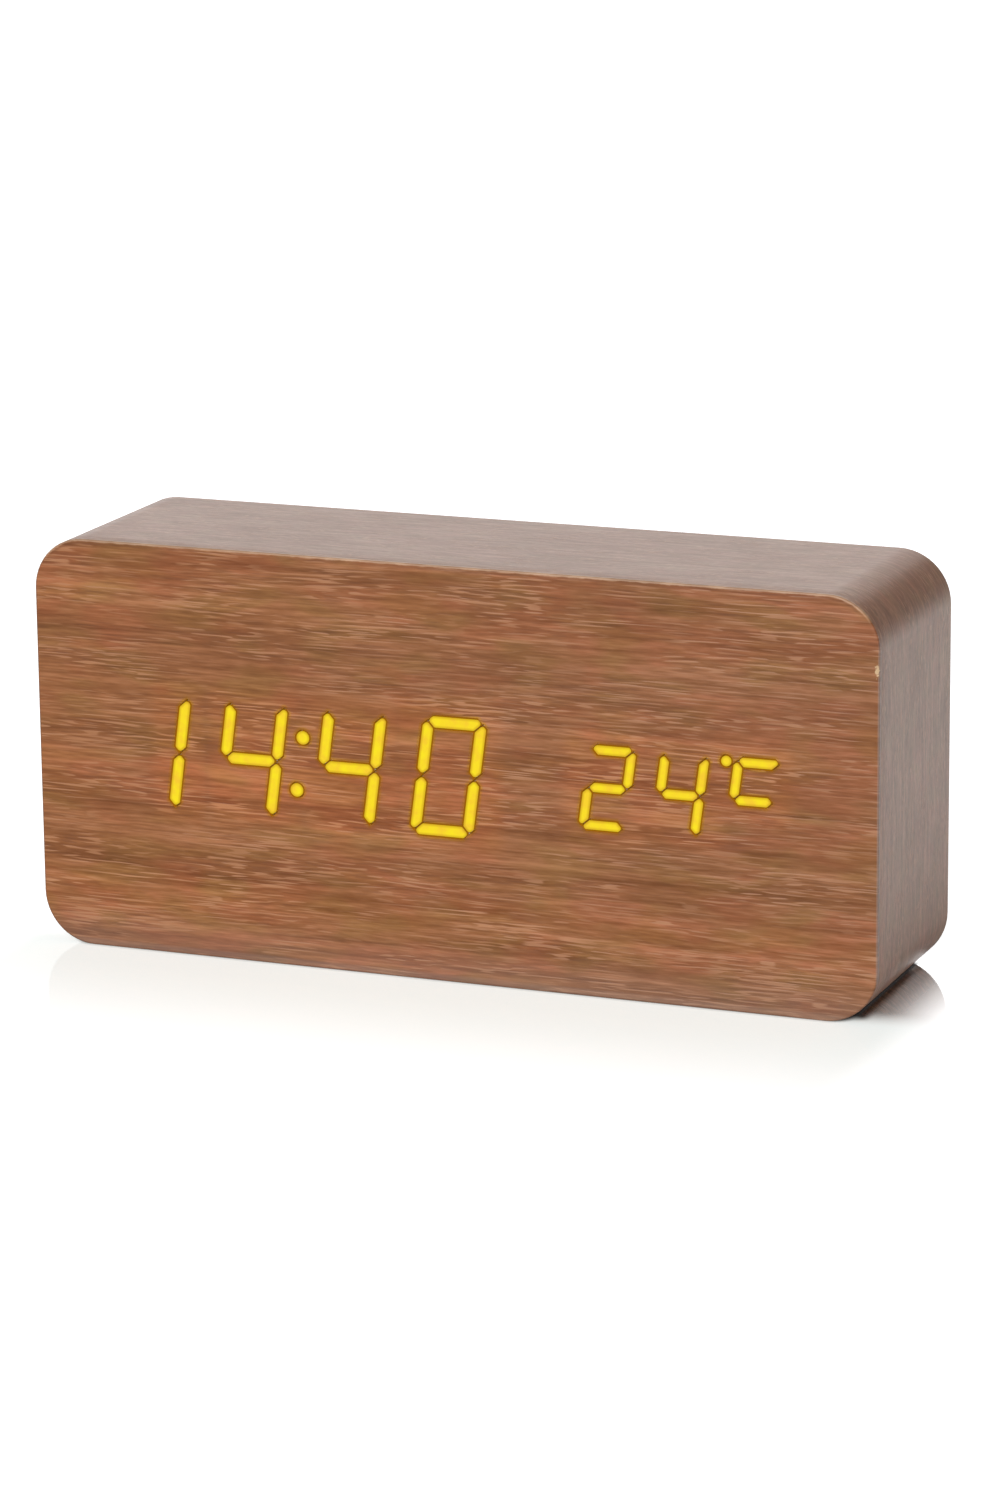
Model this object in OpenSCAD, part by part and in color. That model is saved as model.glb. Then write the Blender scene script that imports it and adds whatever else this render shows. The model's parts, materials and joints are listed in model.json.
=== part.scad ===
// Desk clock in a routed wooden case. A lit time and temperature show on the wood-grain front,
// and a recessed rear cover carries the buttons, the power socket and a battery bay.
// Millimetres. X runs to the viewer's right, Y from the front to the rear, and Z up.
// The origin is the middle of the base.

/* [Case] */
// Overall width
case_w = 150; // [135:1:180]
// Overall height
case_h = 71; // [68:1:95]
// Overall depth
case_d = 39; // [36:0.5:60]
// Corner radius of the front outline
corner_r = 9; // [6:0.5:12]
// Width of the wooden rim round the rear cover
rim_w = 6; // [5:0.5:7]
// Width of the ledge that the rear cover sits on
ledge_w = 3; // [2:0.5:3.5]
// Radius of the routed cavity's corners
cavity_r = 14; // [12:0.5:16]
// Thickness of the wooden wall behind the front panel
front_wall_t = 4.2; // [3.6:0.1:6]
// Thickness of the wood-grain front panel
panel_t = 0.8; // [0.5:0.1:1.2]

/* [Digits] */
// How far the display's middle lies below the middle of the case
display_drop = 0.2; // [0:0.1:2]
// Lean of the digits, in degrees
slant = 8; // [0:0.5:10]
// Gap between neighbouring segments
segment_gap = 0.3; // [0.2:0.05:0.5]
// Lap of the dark outlines where neighbouring lit segments meet
outline_lap = 0.15; // [0.12:0.01:0.2]
// Rounding of a lit segment's corners, as a share of its stroke
segment_round = 0.28; // [0.1:0.01:0.3]
// Rounding of the cut-outs' corners round the lit segments
outline_round = 0.3; // [0.1:0.05:0.35]
// Middle of the time, from the left end of the case
time_left = 48.5; // [47:0.1:50]
// Spacing of the time digits
time_pitch = 17.9; // [17:0.1:18.5]
// Height of a time digit, between the middles of its strokes
time_digit_h = 18.5; // [16:0.1:20]
// Width of a time digit, between the middles of its strokes
time_digit_w = 9.4; // [8:0.1:10]
// Stroke of a time digit
time_stroke = 1.9; // [1.6:0.05:2.3]
// Corner cut of a time digit
time_cut = 1.6; // [1:0.05:2]
// Diameter of the colon's dots
colon_d = 2.3; // [1.6:0.1:2.8]
// Spacing of the colon's dots
colon_spacing = 9.1; // [7:0.1:11]
// Middle of the temperature, from the right end of the case
temp_right = 33.9; // [33:0.1:35]
// How far the temperature's middle lies above the time's
temp_rise = 0.5; // [0:0.1:2]
// Spacing of the temperature digits
temp_pitch = 12.6; // [12:0.1:13.2]
// Height of a temperature digit, between the middles of its strokes
temp_digit_h = 12.8; // [11:0.1:15]
// Width of a temperature digit, between the middles of its strokes
temp_digit_w = 6.8; // [6:0.1:7.2]
// Stroke of a temperature digit
temp_stroke = 1.55; // [1.2:0.05:1.9]
// Corner cut of a temperature digit
temp_cut = 1.3; // [0.8:0.05:1.6]
// Diameter of the degree dot
degree_d = 1.75; // [1.4:0.05:2]
// Distance of the degree dot from the stroke on its right
degree_offset = 2.1; // [2:0.05:2.4]

/* [Display module] */
// Thickness of the black mask film
mask_t = 0.25; // [0.15:0.05:0.4]
// Play of the lit segments in the mask
mask_gap = 0.05; // [0.03:0.01:0.09]
// Thickness of the diffuser film
diffuser_t = 0.25; // [0.15:0.05:0.5]
// Margin of the display window round the digits
window_margin = 1.2; // [0.8:0.1:1.6]
// Corner radius of the display window
window_r = 3; // [2:0.5:5]
// Gap between the display module and its window
module_gap = 0.2; // [0.1:0.05:0.3]
// Thickness of the segment frame's flange
flange_t = 1.8; // [1.4:0.1:3]
// Reach of the flange past the window at each side
flange_side = 1.6; // [1:0.1:1.9]
// Reach of the flange past the window above and below
flange_lip = 6; // [5.4:0.1:7]
// Corner radius of the flange and the display board
flange_r = 4; // [2:0.5:6]
// Thickness of both circuit boards
board_t = 1.6; // [1:0.1:2]
// Length of a light chip
led_l = 1.6; // [1.2:0.1:2]
// Width of a light chip
led_w = 0.8; // [0.6:0.1:1.2]
// Height of a light chip
led_h = 0.7; // [0.4:0.1:1.2]
// Distance of the display screws from the ends of the window
display_screw_inset = 8; // [5:0.5:20]
// Wood left in front of the display screws' tips
display_screw_cover = 1; // [0.6:0.1:1.6]
// Length of the driver chip
driver_l = 18; // [10:0.5:24]
// Width of the driver chip
driver_w = 7.5; // [5:0.5:9]
// Height of the driver chip
driver_h = 2.3; // [1.5:0.1:2.8]

/* [Rear cover] */
// Thickness of the rear cover
cover_t = 2.2; // [2:0.1:3]
// Depth of the rear cover below the rim
cover_inset = 0.5; // [0.4:0.1:1.5]
// Gap round the rear cover
cover_gap = 0.2; // [0.1:0.05:0.4]
// Corner radius of the rear cover
cover_r = 5; // [3:0.5:7]
// Distance of the cover screws from the cover's edges
cover_screw_inset = 5; // [4.5:0.1:5.5]
// Length of the cover screws in the wood
cover_screw_bite = 9; // [6:0.5:12]
// Width of the vent slots
vent_w = 1.6; // [1:0.1:2]
// Height of the vent slots
vent_h = 7; // [5:0.5:8]
// Spacing of the vent slots
vent_pitch = 3.6; // [3:0.1:3.8]
// Number of vent slots
vent_count = 8; // [4:1:8]

/* [Screws] */
// Shank diameter of every screw
screw_d = 2; // [1.6:0.1:2.2]
// Head diameter of every screw
screw_head_d = 4; // [3.4:0.1:4.6]
// Head height of every screw
screw_head_h = 1.2; // [0.9:0.1:1.5]
// Radial play of the screws in their holes
screw_gap = 0.05; // [0.02:0.01:0.1]
// Radial play of the heads in the cover
head_gap = 0.3; // [0.2:0.05:0.4]
// Width of the cross recess in a head
cross_w = 0.6; // [0.4:0.05:0.8]
// Length of the cross recess in a head
cross_l = 2.4; // [1.6:0.1:2.8]
// Depth of the cross recess in a head
cross_t = 0.7; // [0.4:0.05:0.8]

/* [Control board] */
// Distance of the control board from the cavity's left wall
control_margin = 6; // [5:0.5:8]
// Width of the control board
control_w = 48; // [46:0.5:49]
// Height of the control board
control_h = 42; // [40:0.5:42.5]
// Diameter of the posts that carry the control board
post_d = 6; // [5:0.5:6.5]
// Distance of the posts from the board's edges
post_inset = 4; // [3.5:0.1:4.5]
// Length of the board screws in the posts
post_bite = 4; // [3:0.5:5]
// Height of the row of buttons above the middle of the cover
button_row = 10; // [9:0.5:11]
// Height of the row of sockets below the middle of the cover
socket_row = 12; // [11:0.5:13]
// Height of the vents' middle below the middle of the cover
vent_row = 1.5; // [1:0.5:2]

/* [Buttons] */
// Spacing of the buttons
button_pitch = 13; // [11.5:0.1:13.5]
// Diameter of a button
button_d = 7; // [6:0.1:8]
// Gap round a button
button_gap = 0.25; // [0.2:0.05:0.4]
// How far a button stands proud of the cover
button_proud = 0.4; // [0.1:0.05:0.4]
// Press of a button
button_travel = 0.6; // [0.3:0.05:0.7]
// Reach of a button's collar past its cap
collar_w = 1; // [0.6:0.1:1.4]
// Thickness of a button's collar
collar_t = 1; // [0.6:0.1:1.4]
// Gap between a button's collar and the cover
collar_gap = 0.1; // [0.05:0.05:0.2]
// Diameter of a button's stem
stem_d = 3.2; // [2:0.1:4]
// Length of a button's stem
stem_l = 0.6; // [0.3:0.1:2]
// Size of the mark cut in a button
mark_w = 2.8; // [1.6:0.1:3.6]
// Depth of the mark cut in a button
mark_t = 0.3; // [0.2:0.05:0.5]
// Width of a switch body
tact_w = 6; // [5:0.1:7]
// Height of a switch body
tact_h = 3.5; // [3:0.1:4.5]
// Diameter of a switch plunger
plunger_d = 3.5; // [2.4:0.1:4]
// Gap round a switch plunger
plunger_gap = 0.15; // [0.1:0.05:0.2]
// How far a plunger stands out of its switch
plunger_proud = 0.9; // [0.8:0.05:1.2]
// Length of a plunger inside its switch
plunger_foot = 1.5; // [1:0.1:2]

/* [Sound switch] */
// Distance of the sound switch from the board's middle
sound_x = 9; // [8:0.5:10]
// Length of the switch body
sound_l = 10; // [9.4:0.1:11]
// Width of the switch body
sound_w = 4.4; // [4:0.1:5]
// Height of the switch body
sound_h = 3.6; // [3:0.1:4.5]
// Length of the knob
knob_l = 3; // [2:0.1:3.4]
// Width of the knob
knob_w = 2.2; // [1.6:0.1:2.6]
// Depth of the knob in the switch body
knob_foot = 2; // [1.4:0.1:2.4]
// Depth of the knob's top below the cover's face
knob_sink = 0.2; // [0:0.05:0.6]
// Travel of the knob
knob_travel = 2; // [1.5:0.1:2.5]
// Gap round the knob
knob_gap = 0.3; // [0.2:0.05:0.4]
// Width of a grip groove in the knob
knob_groove = 0.4; // [0.3:0.05:0.5]

/* [Power socket] */
// Distance of the power socket from the board's middle
usb_x = 10; // [9:0.5:11]
// Width of the socket's shell
usb_w = 7.6; // [7.2:0.1:8]
// Height of the socket's shell
usb_h = 3; // [2.6:0.1:3.4]
// Length of the socket's shell
usb_l = 6.8; // [6.2:0.1:7.2]
// Thickness of the shell's sheet
usb_t = 0.3; // [0.2:0.05:0.4]
// Cut of the shell's two lower corners
usb_cut = 0.9; // [0.4:0.1:1.1]
// Room for the plug round the shell
usb_room = 2.2; // [2:0.1:2.4]
// Corner radius of the plug's opening
usb_r = 2; // [1:0.1:2.5]
// Width of the contact tongue
tongue_w = 4.6; // [3.6:0.1:5]
// Thickness of the contact tongue
tongue_t = 0.7; // [0.5:0.05:0.9]
// Depth of the tongue's end below the shell's mouth
tongue_sink = 0.8; // [0.4:0.1:1.2]
// Thickness of the tongue's base
tongue_base = 1.6; // [1:0.1:2.2]
// Gap between the tongue's base and the shell
tongue_gap = 0.05; // [0.03:0.01:0.1]

/* [Small parts] */
// Side of the microcontroller's body
mcu_w = 10; // [8:0.5:11]
// Height of the microcontroller's body
mcu_h = 1.5; // [1:0.1:2]
// Length of a chip's leg
leg_l = 1.1; // [0.8:0.1:1.4]
// Width of a chip's leg
leg_w = 0.4; // [0.3:0.05:0.5]
// Thickness of a chip's leg
leg_t = 0.2; // [0.15:0.05:0.3]
// Spacing of a chip's legs
leg_pitch = 1.2; // [1:0.1:1.5]
// Length of the crystal's can
crystal_l = 10.5; // [8:0.5:11]
// Width of the crystal's can
crystal_w = 4; // [3:0.1:4.6]
// Height of the crystal's can
crystal_h = 3.5; // [3:0.1:4.5]
// Diameter of the buzzer
buzzer_d = 12; // [9:0.5:12.5]
// Height of the buzzer
buzzer_h = 5.5; // [4:0.5:7]
// Diameter of the microphone
mic_d = 6; // [4:0.5:7]
// Height of the microphone
mic_h = 2.6; // [2:0.1:4]
// Diameter of the temperature probe's bead
probe_d = 2.6; // [2:0.1:3]
// Height of the bead's middle above the board
probe_h = 3.6; // [2.5:0.1:4]
// Diameter of the probe's legs
probe_leg_d = 0.5; // [0.4:0.05:0.7]
// Diameter of the coin cell
coin_d = 20; // [16:0.5:20.5]
// Thickness of the coin cell
coin_t = 3.2; // [1.6:0.1:4]
// Gap round the coin cell
coin_gap = 0.2; // [0.1:0.05:0.4]
// Wall and floor of the coin cell's holder
holder_t = 1.2; // [0.8:0.1:1.4]
// Width of the two openings in the holder's wall
holder_gap = 12; // [8:0.5:14]
// Width of the ribbon cable
ribbon_w = 12; // [8:0.5:13]
// Thickness of the ribbon cable
ribbon_t = 0.8; // [0.6:0.1:1.2]
// Bend radius of the ribbon cable, at its middle
ribbon_r = 3; // [2:0.1:3.2]
// Drop of the ribbon cable between its sockets
ribbon_drop = 12; // [8:0.5:14]
// Height of a ribbon socket
ribbon_socket_h = 4; // [3:0.1:5]
// Wall of a ribbon socket
ribbon_socket_t = 1.2; // [0.8:0.1:1.4]
// Depth of the ribbon in a socket
ribbon_foot = 2; // [1:0.1:2.5]
// Gap round the ribbon in a socket
ribbon_gap = 0.1; // [0.05:0.05:0.2]

/* [Board layout] */
// Coin cell, left of the control board's middle
coin_left = 9; // [8.6:0.1:9.8]
// Coin cell, below the control board's middle
coin_down = 7; // [6.4:0.1:7.8]
// Buzzer, right of the control board's middle
buzzer_right = 13; // [12:0.1:13.4]
// Buzzer, below the control board's middle
buzzer_down = 12; // [10.8:0.1:12.4]
// Microcontroller and crystal, right of the control board's middle
mcu_right = 10; // [9.6:0.1:12]
// Microcontroller, above the control board's middle
mcu_up = 3.5; // [3:0.1:5]
// Crystal, above the control board's middle
crystal_up = 15; // [14:0.1:16]
// Ribbon cable, left of the control board's middle
ribbon_left = 8; // [7:0.1:9]
// Upper end of the ribbon cable, above the control board's middle
ribbon_up = 14; // [12:0.1:16]
// Driver chip, right of the case's middle
driver_right = 18; // [10:0.5:40]

/* [Battery bay] */
// Distance of the bay's outer wall from the cavity's right wall
bay_margin = 5.25; // [4.25:0.25:7.25]
// Diameter of a battery cell
cell_d = 10.5; // [10:0.1:11.5]
// Length of a battery cell with its nub
cell_l = 44.5; // [42:0.1:45.5]
// Thickness of a cell's sleeve
sleeve_t = 0.15; // [0.1:0.05:0.3]
// Diameter of a cell's nub
nub_d = 3.8; // [3:0.1:5]
// Length of a cell's nub
nub_l = 1; // [0.8:0.1:1.5]
// Bare metal left at each end of a sleeve
sleeve_end = 0.4; // [0.2:0.1:1]
// Space between neighbouring cells
cell_space = 0.9; // [0.6:0.1:1.2]
// Gap round the cells in their cradles
cell_gap = 0.3; // [0.2:0.05:0.5]
// Drop of the cradles' tops below the cells' middle
cradle_drop = 2.5; // [2:0.1:4]
// Wall of the battery bay
bay_wall = 2; // [1.6:0.1:2.4]
// Thickness of the bay's floor under the cells
bay_floor = 1.6; // [1.2:0.1:2.4]
// Thickness of the contact plates
contact_t = 0.4; // [0.3:0.05:0.6]
// Width of a contact plate
contact_w = 8; // [6:0.1:9]
// Height of a contact plate above the cells' middle
contact_h = 4.2; // [3:0.1:5]
// Width of a contact's solder tab
tab_w = 2.4; // [1.6:0.1:3]
// Reach of a solder tab past the bay's floor
tab_l = 1.6; // [1:0.1:3]
// Gap round a solder tab in the floor
tab_gap = 0.1; // [0.05:0.05:0.2]
// Length of a fitted battery spring
spring_l = 4.2; // [4:0.1:5]
// Wire diameter of a battery spring
spring_wire = 0.5; // [0.4:0.05:0.55]
// Radius of a spring at its plate
spring_r = 2.3; // [2:0.1:3]
// Radius of a spring at its cell
spring_tip_r = 1.7; // [1.4:0.1:2]
// Turns of a battery spring
spring_turns = 2.5; // [2:0.5:2.5]
// Diameter of the battery leads
lead_d = 1.2; // [0.8:0.1:1.4]
// Distance of the leads' pads from the board's right edge
pad_inset = 3; // [2:0.1:4]
// Spacing of the leads' pads
pad_pitch = 5; // [3:0.1:6]
// Swing of the leads towards the front
lead_swing = 9; // [6:0.5:12]

/* [Battery door] */
// Thickness of the door
door_t = 1.8; // [1.6:0.1:2]
// Gap between the door and its edges
door_gap = 0.2; // [0.15:0.05:0.3]
// Gap behind the door
door_back_gap = 0.1; // [0.05:0.05:0.2]
// Width of the ledge behind the door's edges
door_lip = 1.2; // [0.8:0.1:1.6]
// Diameter of the hinge pins
pin_d = 1.2; // [0.9:0.05:1.3]
// Reach of the hinge pins past the door
pin_l = 1.2; // [0.8:0.1:1.6]
// Radial play of the hinge pins
pin_gap = 0.05; // [0.03:0.01:0.08]
// Width of the door's grip tongue
grip_w = 14; // [8:0.5:20]
// Length of the door's grip tongue
grip_l = 7; // [5:0.5:10]
// Width of the slots beside the tongue
grip_slot = 0.8; // [0.5:0.1:1.2]
// Number of grip grooves
groove_count = 4; // [2:1:4]
// Width of a grip groove
groove_w = 0.6; // [0.4:0.05:0.7]
// Depth of a grip groove
groove_t = 0.4; // [0.2:0.05:0.6]
// Spacing of the grip grooves
groove_pitch = 1.4; // [1.2:0.05:1.5]
// Radius of the finger hollow above the door
scoop_r = 6; // [4:0.5:8]
// Depth of the finger hollow above the door
scoop_t = 1; // [0.6:0.1:1.2]

/* [Hidden] */
$fn = 48;

// How far a cut runs past the face that it opens
over = 1;
mid_z = case_h / 2;

// Planes from the front to the rear
front_y = -case_d / 2;
panel_back = front_y + panel_t;
mask_back = panel_back + mask_t;
diffuser_back = mask_back + diffuser_t;
wall_back = panel_back + front_wall_t;
flange_back = wall_back + flange_t;
display_back = flange_back + board_t;
rear_y = case_d / 2;
cover_out = rear_y - cover_inset;
cover_in = cover_out - cover_t;
post_h = collar_gap + collar_t + stem_l + plunger_proud + tact_h;
control_rear = cover_in - post_h;
control_front = control_rear - board_t;

// Case
pocket_w = case_w - 2 * rim_w;
pocket_h = case_h - 2 * rim_w;
cavity_w = pocket_w - 2 * ledge_w;
cavity_h = pocket_h - 2 * ledge_w;
cover_w = pocket_w - 2 * cover_gap;
cover_h = pocket_h - 2 * cover_gap;
cover_screw_places = [
    for (sx = [-1, 1], sz = [-1, 1])
        [sx * (cover_w / 2 - cover_screw_inset), mid_z + sz * (cover_h / 2 - cover_screw_inset)]
];

// Short edges in each rounded corner of a segment
round_steps = 4;
// Dark outline left round each lit segment
outline_gap = segment_gap / 2 + outline_lap;

// Digits: middle x, middle z, half width, half height, stroke, corner cut
display_z = mid_z - display_drop;
time_x = time_left - case_w / 2;
temp_x = case_w / 2 - temp_right;
time_digits = [
    for (i = [0 : 3])
        [time_x + (i - 1.5) * time_pitch, display_z,
         time_digit_w / 2, time_digit_h / 2, time_stroke, time_cut]
];
temp_digits = [
    for (i = [0 : 2])
        [temp_x + (i - 1) * temp_pitch, display_z + temp_rise,
         temp_digit_w / 2, temp_digit_h / 2, temp_stroke, temp_cut]
];
all_digits = concat(time_digits, temp_digits);
all_segments = "abcdefg";
time_shown = ["bc", "bcfg", "bcfg", "abcdef"];
temp_shown = ["abdeg", "bcfg", "afg"];
all_shown = concat(time_shown, temp_shown);
colon_dots = [
    for (s = [-1, 1])
        [time_x, display_z] + lean([0, s * colon_spacing / 2])
];
degree_dot = place(temp_digits[2], [-temp_digit_w / 2 - degree_offset, temp_digit_h / 2]);

// Display window and module
time_reach = time_digit_w / 2 + time_stroke / 2 + tan(slant) * (time_digit_h + time_stroke) / 2;
temp_reach = temp_digit_w / 2 + temp_stroke / 2 + tan(slant) * (temp_digit_h + temp_stroke) / 2;
display_left = time_digits[0][0] - time_reach;
display_right = temp_digits[2][0] + temp_reach;
window_x = (display_left + display_right) / 2;
window_w = display_right - display_left + 2 * window_margin;
window_h = time_digit_h + time_stroke + 2 * window_margin;
display_screw_places = [
    for (sx = [-1, 1], sz = [-1, 1])
        [window_x + sx * (window_w / 2 - display_screw_inset),
         display_z + sz * (window_h / 2 + flange_lip / 2)]
];

// Control board
control_x = cavity_w / 2 - control_margin - control_w / 2;
post_places = [
    for (sx = [-1, 1], sz = [-1, 1])
        [-control_x + sx * (control_w / 2 - post_inset), mid_z + sz * (control_h / 2 - post_inset)]
];
button_z = mid_z + button_row;
socket_z = mid_z - socket_row;
vent_z = mid_z - vent_row;
button_places = [for (i = [1, 0, -1]) [-control_x + i * button_pitch, button_z]];
sound_place = [-control_x - sound_x, socket_z];
usb_place = [-control_x + usb_x, socket_z];
mic_place = [-control_x + button_pitch / 2, vent_z];
probe_place = [-control_x - button_pitch / 2, vent_z];
collar_in = cover_in - collar_gap - collar_t;
plunger_top = control_rear + tact_h + plunger_proud;
knob_rest = -knob_travel / 2;
slide_l = knob_l + knob_travel + 2 * knob_gap;
slide_w = knob_w + 2 * knob_gap;

// Pieces on the front of the control board and the rear of the display board
coin_place = [-control_x - coin_left, mid_z - coin_down];
buzzer_place = [-control_x + buzzer_right, mid_z - buzzer_down];
mcu_place = [-control_x + mcu_right, mid_z + mcu_up];
crystal_place = [-control_x + mcu_right, mid_z + crystal_up];
ribbon_x = -control_x - ribbon_left;
ribbon_top = mid_z + ribbon_up;
ribbon_bottom = ribbon_top - ribbon_drop;
driver_place = [driver_right, display_z];
holder_r = coin_d / 2 + coin_gap + holder_t;

// Battery bay
bay_l = cell_l + spring_l + 2 * contact_t;
bay_x = cavity_w / 2 - bay_margin - bay_wall - bay_l / 2;
bay_left = bay_x - bay_l / 2;
bay_right = bay_x + bay_l / 2;
cell_pitch = cell_d + cell_space;
bay_h = 2 * cell_pitch + cell_d + 2 * cell_gap;
bay_bottom = mid_z - bay_h / 2;
bay_top = mid_z + bay_h / 2;
cell_y = cover_out - door_t - door_back_gap - cell_gap - cell_d / 2;
cell_zs = [for (i = [1, 0, -1]) mid_z + i * cell_pitch];
cradle_y = cell_y - cradle_drop;
bay_back = cell_y - cell_d / 2 - cell_gap - bay_floor;
positive_end = [-1, 1, -1];
plate_ends = [
    for (side = [-1, 1])
        side < 0 ? bay_left : bay_right - contact_t
];

// Battery door
door_left = bay_left - door_lip;
door_right = bay_right + door_lip;
door_top = bay_top + door_lip;
hinge_r = door_t / 2;
hinge_y = cover_out - hinge_r;
hinge_z = bay_bottom + door_lip / 2 - hinge_r;
rebate_y = cover_out - door_t - door_back_gap;
rebate_bottom = hinge_z - hinge_r - door_gap;

// Routes of the battery leads
pad_x = -control_x + control_w / 2 - pad_inset;
positive_tab = [bay_left + contact_t / 2, bay_back - tab_l, cell_zs[0]];
negative_tab = [bay_right - contact_t / 2, bay_back - tab_l, cell_zs[2]];
positive_pad = [pad_x, control_front, mid_z + pad_pitch / 2];
negative_pad = [pad_x, control_front, mid_z - pad_pitch / 2];
lead_rings = 18;

// Shared shapes

// A flat profile in X and Z, carried from y0 to y1
module along_y(y0, y1) {
    translate([0, y1, 0]) rotate([90, 0, 0]) linear_extrude(y1 - y0) children();
}

// A flat profile in Y and Z, carried from x0 to x1
module along_x(x0, x1) {
    translate([x0, 0, 0]) rotate([90, 0, 90]) linear_extrude(x1 - x0) children();
}

module rounded(w, h, r) {
    square([w - 2 * r, h], center = true);
    square([w, h - 2 * r], center = true);
    for (sx = [-1, 1], sy = [-1, 1])
        translate([sx * (w / 2 - r), sy * (h / 2 - r)]) circle(r);
}

module window_outline(gap) {
    translate([window_x, display_z])
        rounded(window_w - 2 * gap, window_h - 2 * gap, window_r - gap);
}

module flange_outline() {
    translate([window_x, display_z])
        rounded(window_w + 2 * flange_side, window_h + 2 * flange_lip, flange_r);
}

// A box between two corners
module block(low, high) {
    translate(low) cube(high - low);
}

// A pan-head screw along Y. Its head starts at head_y, and turn is 1 where the tip points to the front.
module screw(head_y, length, turn) {
    tip = head_y - turn * length;
    top = head_y + turn * screw_head_h;
    floor_y = top - turn * cross_t;
    past = top + turn * over;
    difference() {
        union() {
            along_y(min(head_y, top), max(head_y, top)) circle(screw_head_d / 2);
            along_y(min(head_y, tip), max(head_y, tip)) circle(screw_d / 2);
        }
        along_y(min(floor_y, past), max(floor_y, past)) {
            square([cross_l, cross_w], center = true);
            square([cross_w, cross_l], center = true);
        }
    }
}

// A chip that stands towards the front from a board's face, with rows of legs
module chip(place, face, w, h, t, legs_below, legs_beside) {
    translate([place[0], face, place[1]]) {
        block([-w / 2, -t, -h / 2], [w / 2, 0, h / 2]);
        if (legs_below)
            chip_legs(w, h);
        if (legs_beside)
            rotate([0, 90, 0]) chip_legs(h, w);
    }
}

module chip_legs(w, h) {
    count = floor((w - leg_w) / leg_pitch);
    for (i = [0 : count], s = [-1, 1])
        translate([(i - count / 2) * leg_pitch, -leg_t / 2, s * h / 2])
            cube([leg_w, leg_t, 2 * leg_l], center = true);
}

// Tubes along a list of points, as rings joined by triangles
function unit(v) = v / norm(v);
function run_of(p) = [
    for (i = [0 : len(p) - 1])
        unit(p[min(i + 1, len(p) - 1)] - p[max(i - 1, 0)])
];
function square_to(v, t) = unit(v - (v * t) * t);
function sides_of(run, first) = [
    for (i = 0, v = square_to(first, run[0]);
         i < len(run);
         i = i + 1, v = i < len(run) ? square_to(v, run[i]) : v)
        v
];

module tube(points, d, sides, first) {
    run = run_of(points);
    across = sides_of(run, first);
    last = len(points) - 1;
    rings = [
        for (i = [0 : last], k = [0 : sides - 1])
            let (a = 360 * k / sides)
            points[i] + d / 2 * (cos(a) * across[i] + sin(a) * cross(run[i], across[i]))
    ];
    walls = [
        for (i = [0 : last - 1], k = [0 : sides - 1], half = [0, 1])
            let (n = (k + 1) % sides)
            half == 0
                ? [i * sides + k, (i + 1) * sides + n, i * sides + n]
                : [i * sides + k, (i + 1) * sides + k, (i + 1) * sides + n]
    ];
    ends = [
        for (k = [1 : sides - 2], half = [0, 1])
            half == 0
                ? [0, k, k + 1]
                : [last * sides, last * sides + k + 1, last * sides + k]
    ];
    polyhedron(points = rings, faces = concat(walls, ends));
}

// A lead leaves its tab towards the front and comes to its pad from the front
function bend(a, b, c, d, t) =
    pow(1 - t, 3) * a + 3 * t * pow(1 - t, 2) * b + 3 * t * t * (1 - t) * c + pow(t, 3) * d;
function lead_route(from, to) = let (
    start = from - [0, lead_d, 0],
    stop = to - [0, lead_d, 0],
    out = [0, lead_swing, 0]
) concat(
    [from],
    [for (i = [0 : lead_rings]) bend(start, start - out, stop - out, stop, i / lead_rings)],
    [to]
);

// A battery spring's curls along X from its plate at 0, with straight ends
spring_rings = 8;
spring_run = spring_l - 2 * spring_wire;
spring_points = concat(
    [[0, spring_r, 0]],
    [
        for (i = [0 : spring_turns * spring_rings])
            let (
                part = i / (spring_turns * spring_rings),
                a = 360 * i / spring_rings,
                r = spring_r + (spring_tip_r - spring_r) * part
            )
            [spring_wire + spring_run * part, r * cos(a), r * sin(a)]
    ],
    [[spring_l, spring_tip_r * cos(360 * spring_turns), spring_tip_r * sin(360 * spring_turns)]]
);
spring_least_gap = min([
    for (i = [0 : len(spring_points) - 1])
        for (j = [i + spring_rings / 2 : 1 : len(spring_points) - 1])
            norm(spring_points[i] - spring_points[j])
]) - spring_wire;
echo(battery_spring_least_gap = spring_least_gap);

// Digit segments. Each outline is worked out upright about the digit's middle, then leaned.
function lean(p) = [p[0] + p[1] * tan(slant), p[1]];
function place(digit, p) = [digit[0], digit[1]] + lean(p);
function flip(points, sx, sz) = [for (p = points) [sx * p[0], sz * p[1]]];

function bar_top(w, h, s, cut, e) = [
    [-w + s / 2 + e, h - s / 2],
    [-w + (e - s + cut) / 2, h + (e + s - cut) / 2],
    [-w - s / 2 + cut, h + s / 2],
    [w + s / 2 - cut, h + s / 2],
    [w - (e - s + cut) / 2, h + (e + s - cut) / 2],
    [w - s / 2 - e, h - s / 2]
];
function bar_side(w, h, s, cut, e) = [
    [w + s / 2, h + s / 2 - cut],
    [w + s / 2, s / 2 + e],
    [w, e],
    [w - s / 2, s / 2 + e],
    [w - s / 2, h - s / 2 - e],
    [w + (e + s - cut) / 2, h - (e - s + cut) / 2]
];
function bar_middle(w, s, e) = [
    [-w + e, 0],
    [-w + e + s / 2, s / 2],
    [w - e - s / 2, s / 2],
    [w - e, 0],
    [w - e - s / 2, -s / 2],
    [-w + e + s / 2, -s / 2]
];

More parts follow.
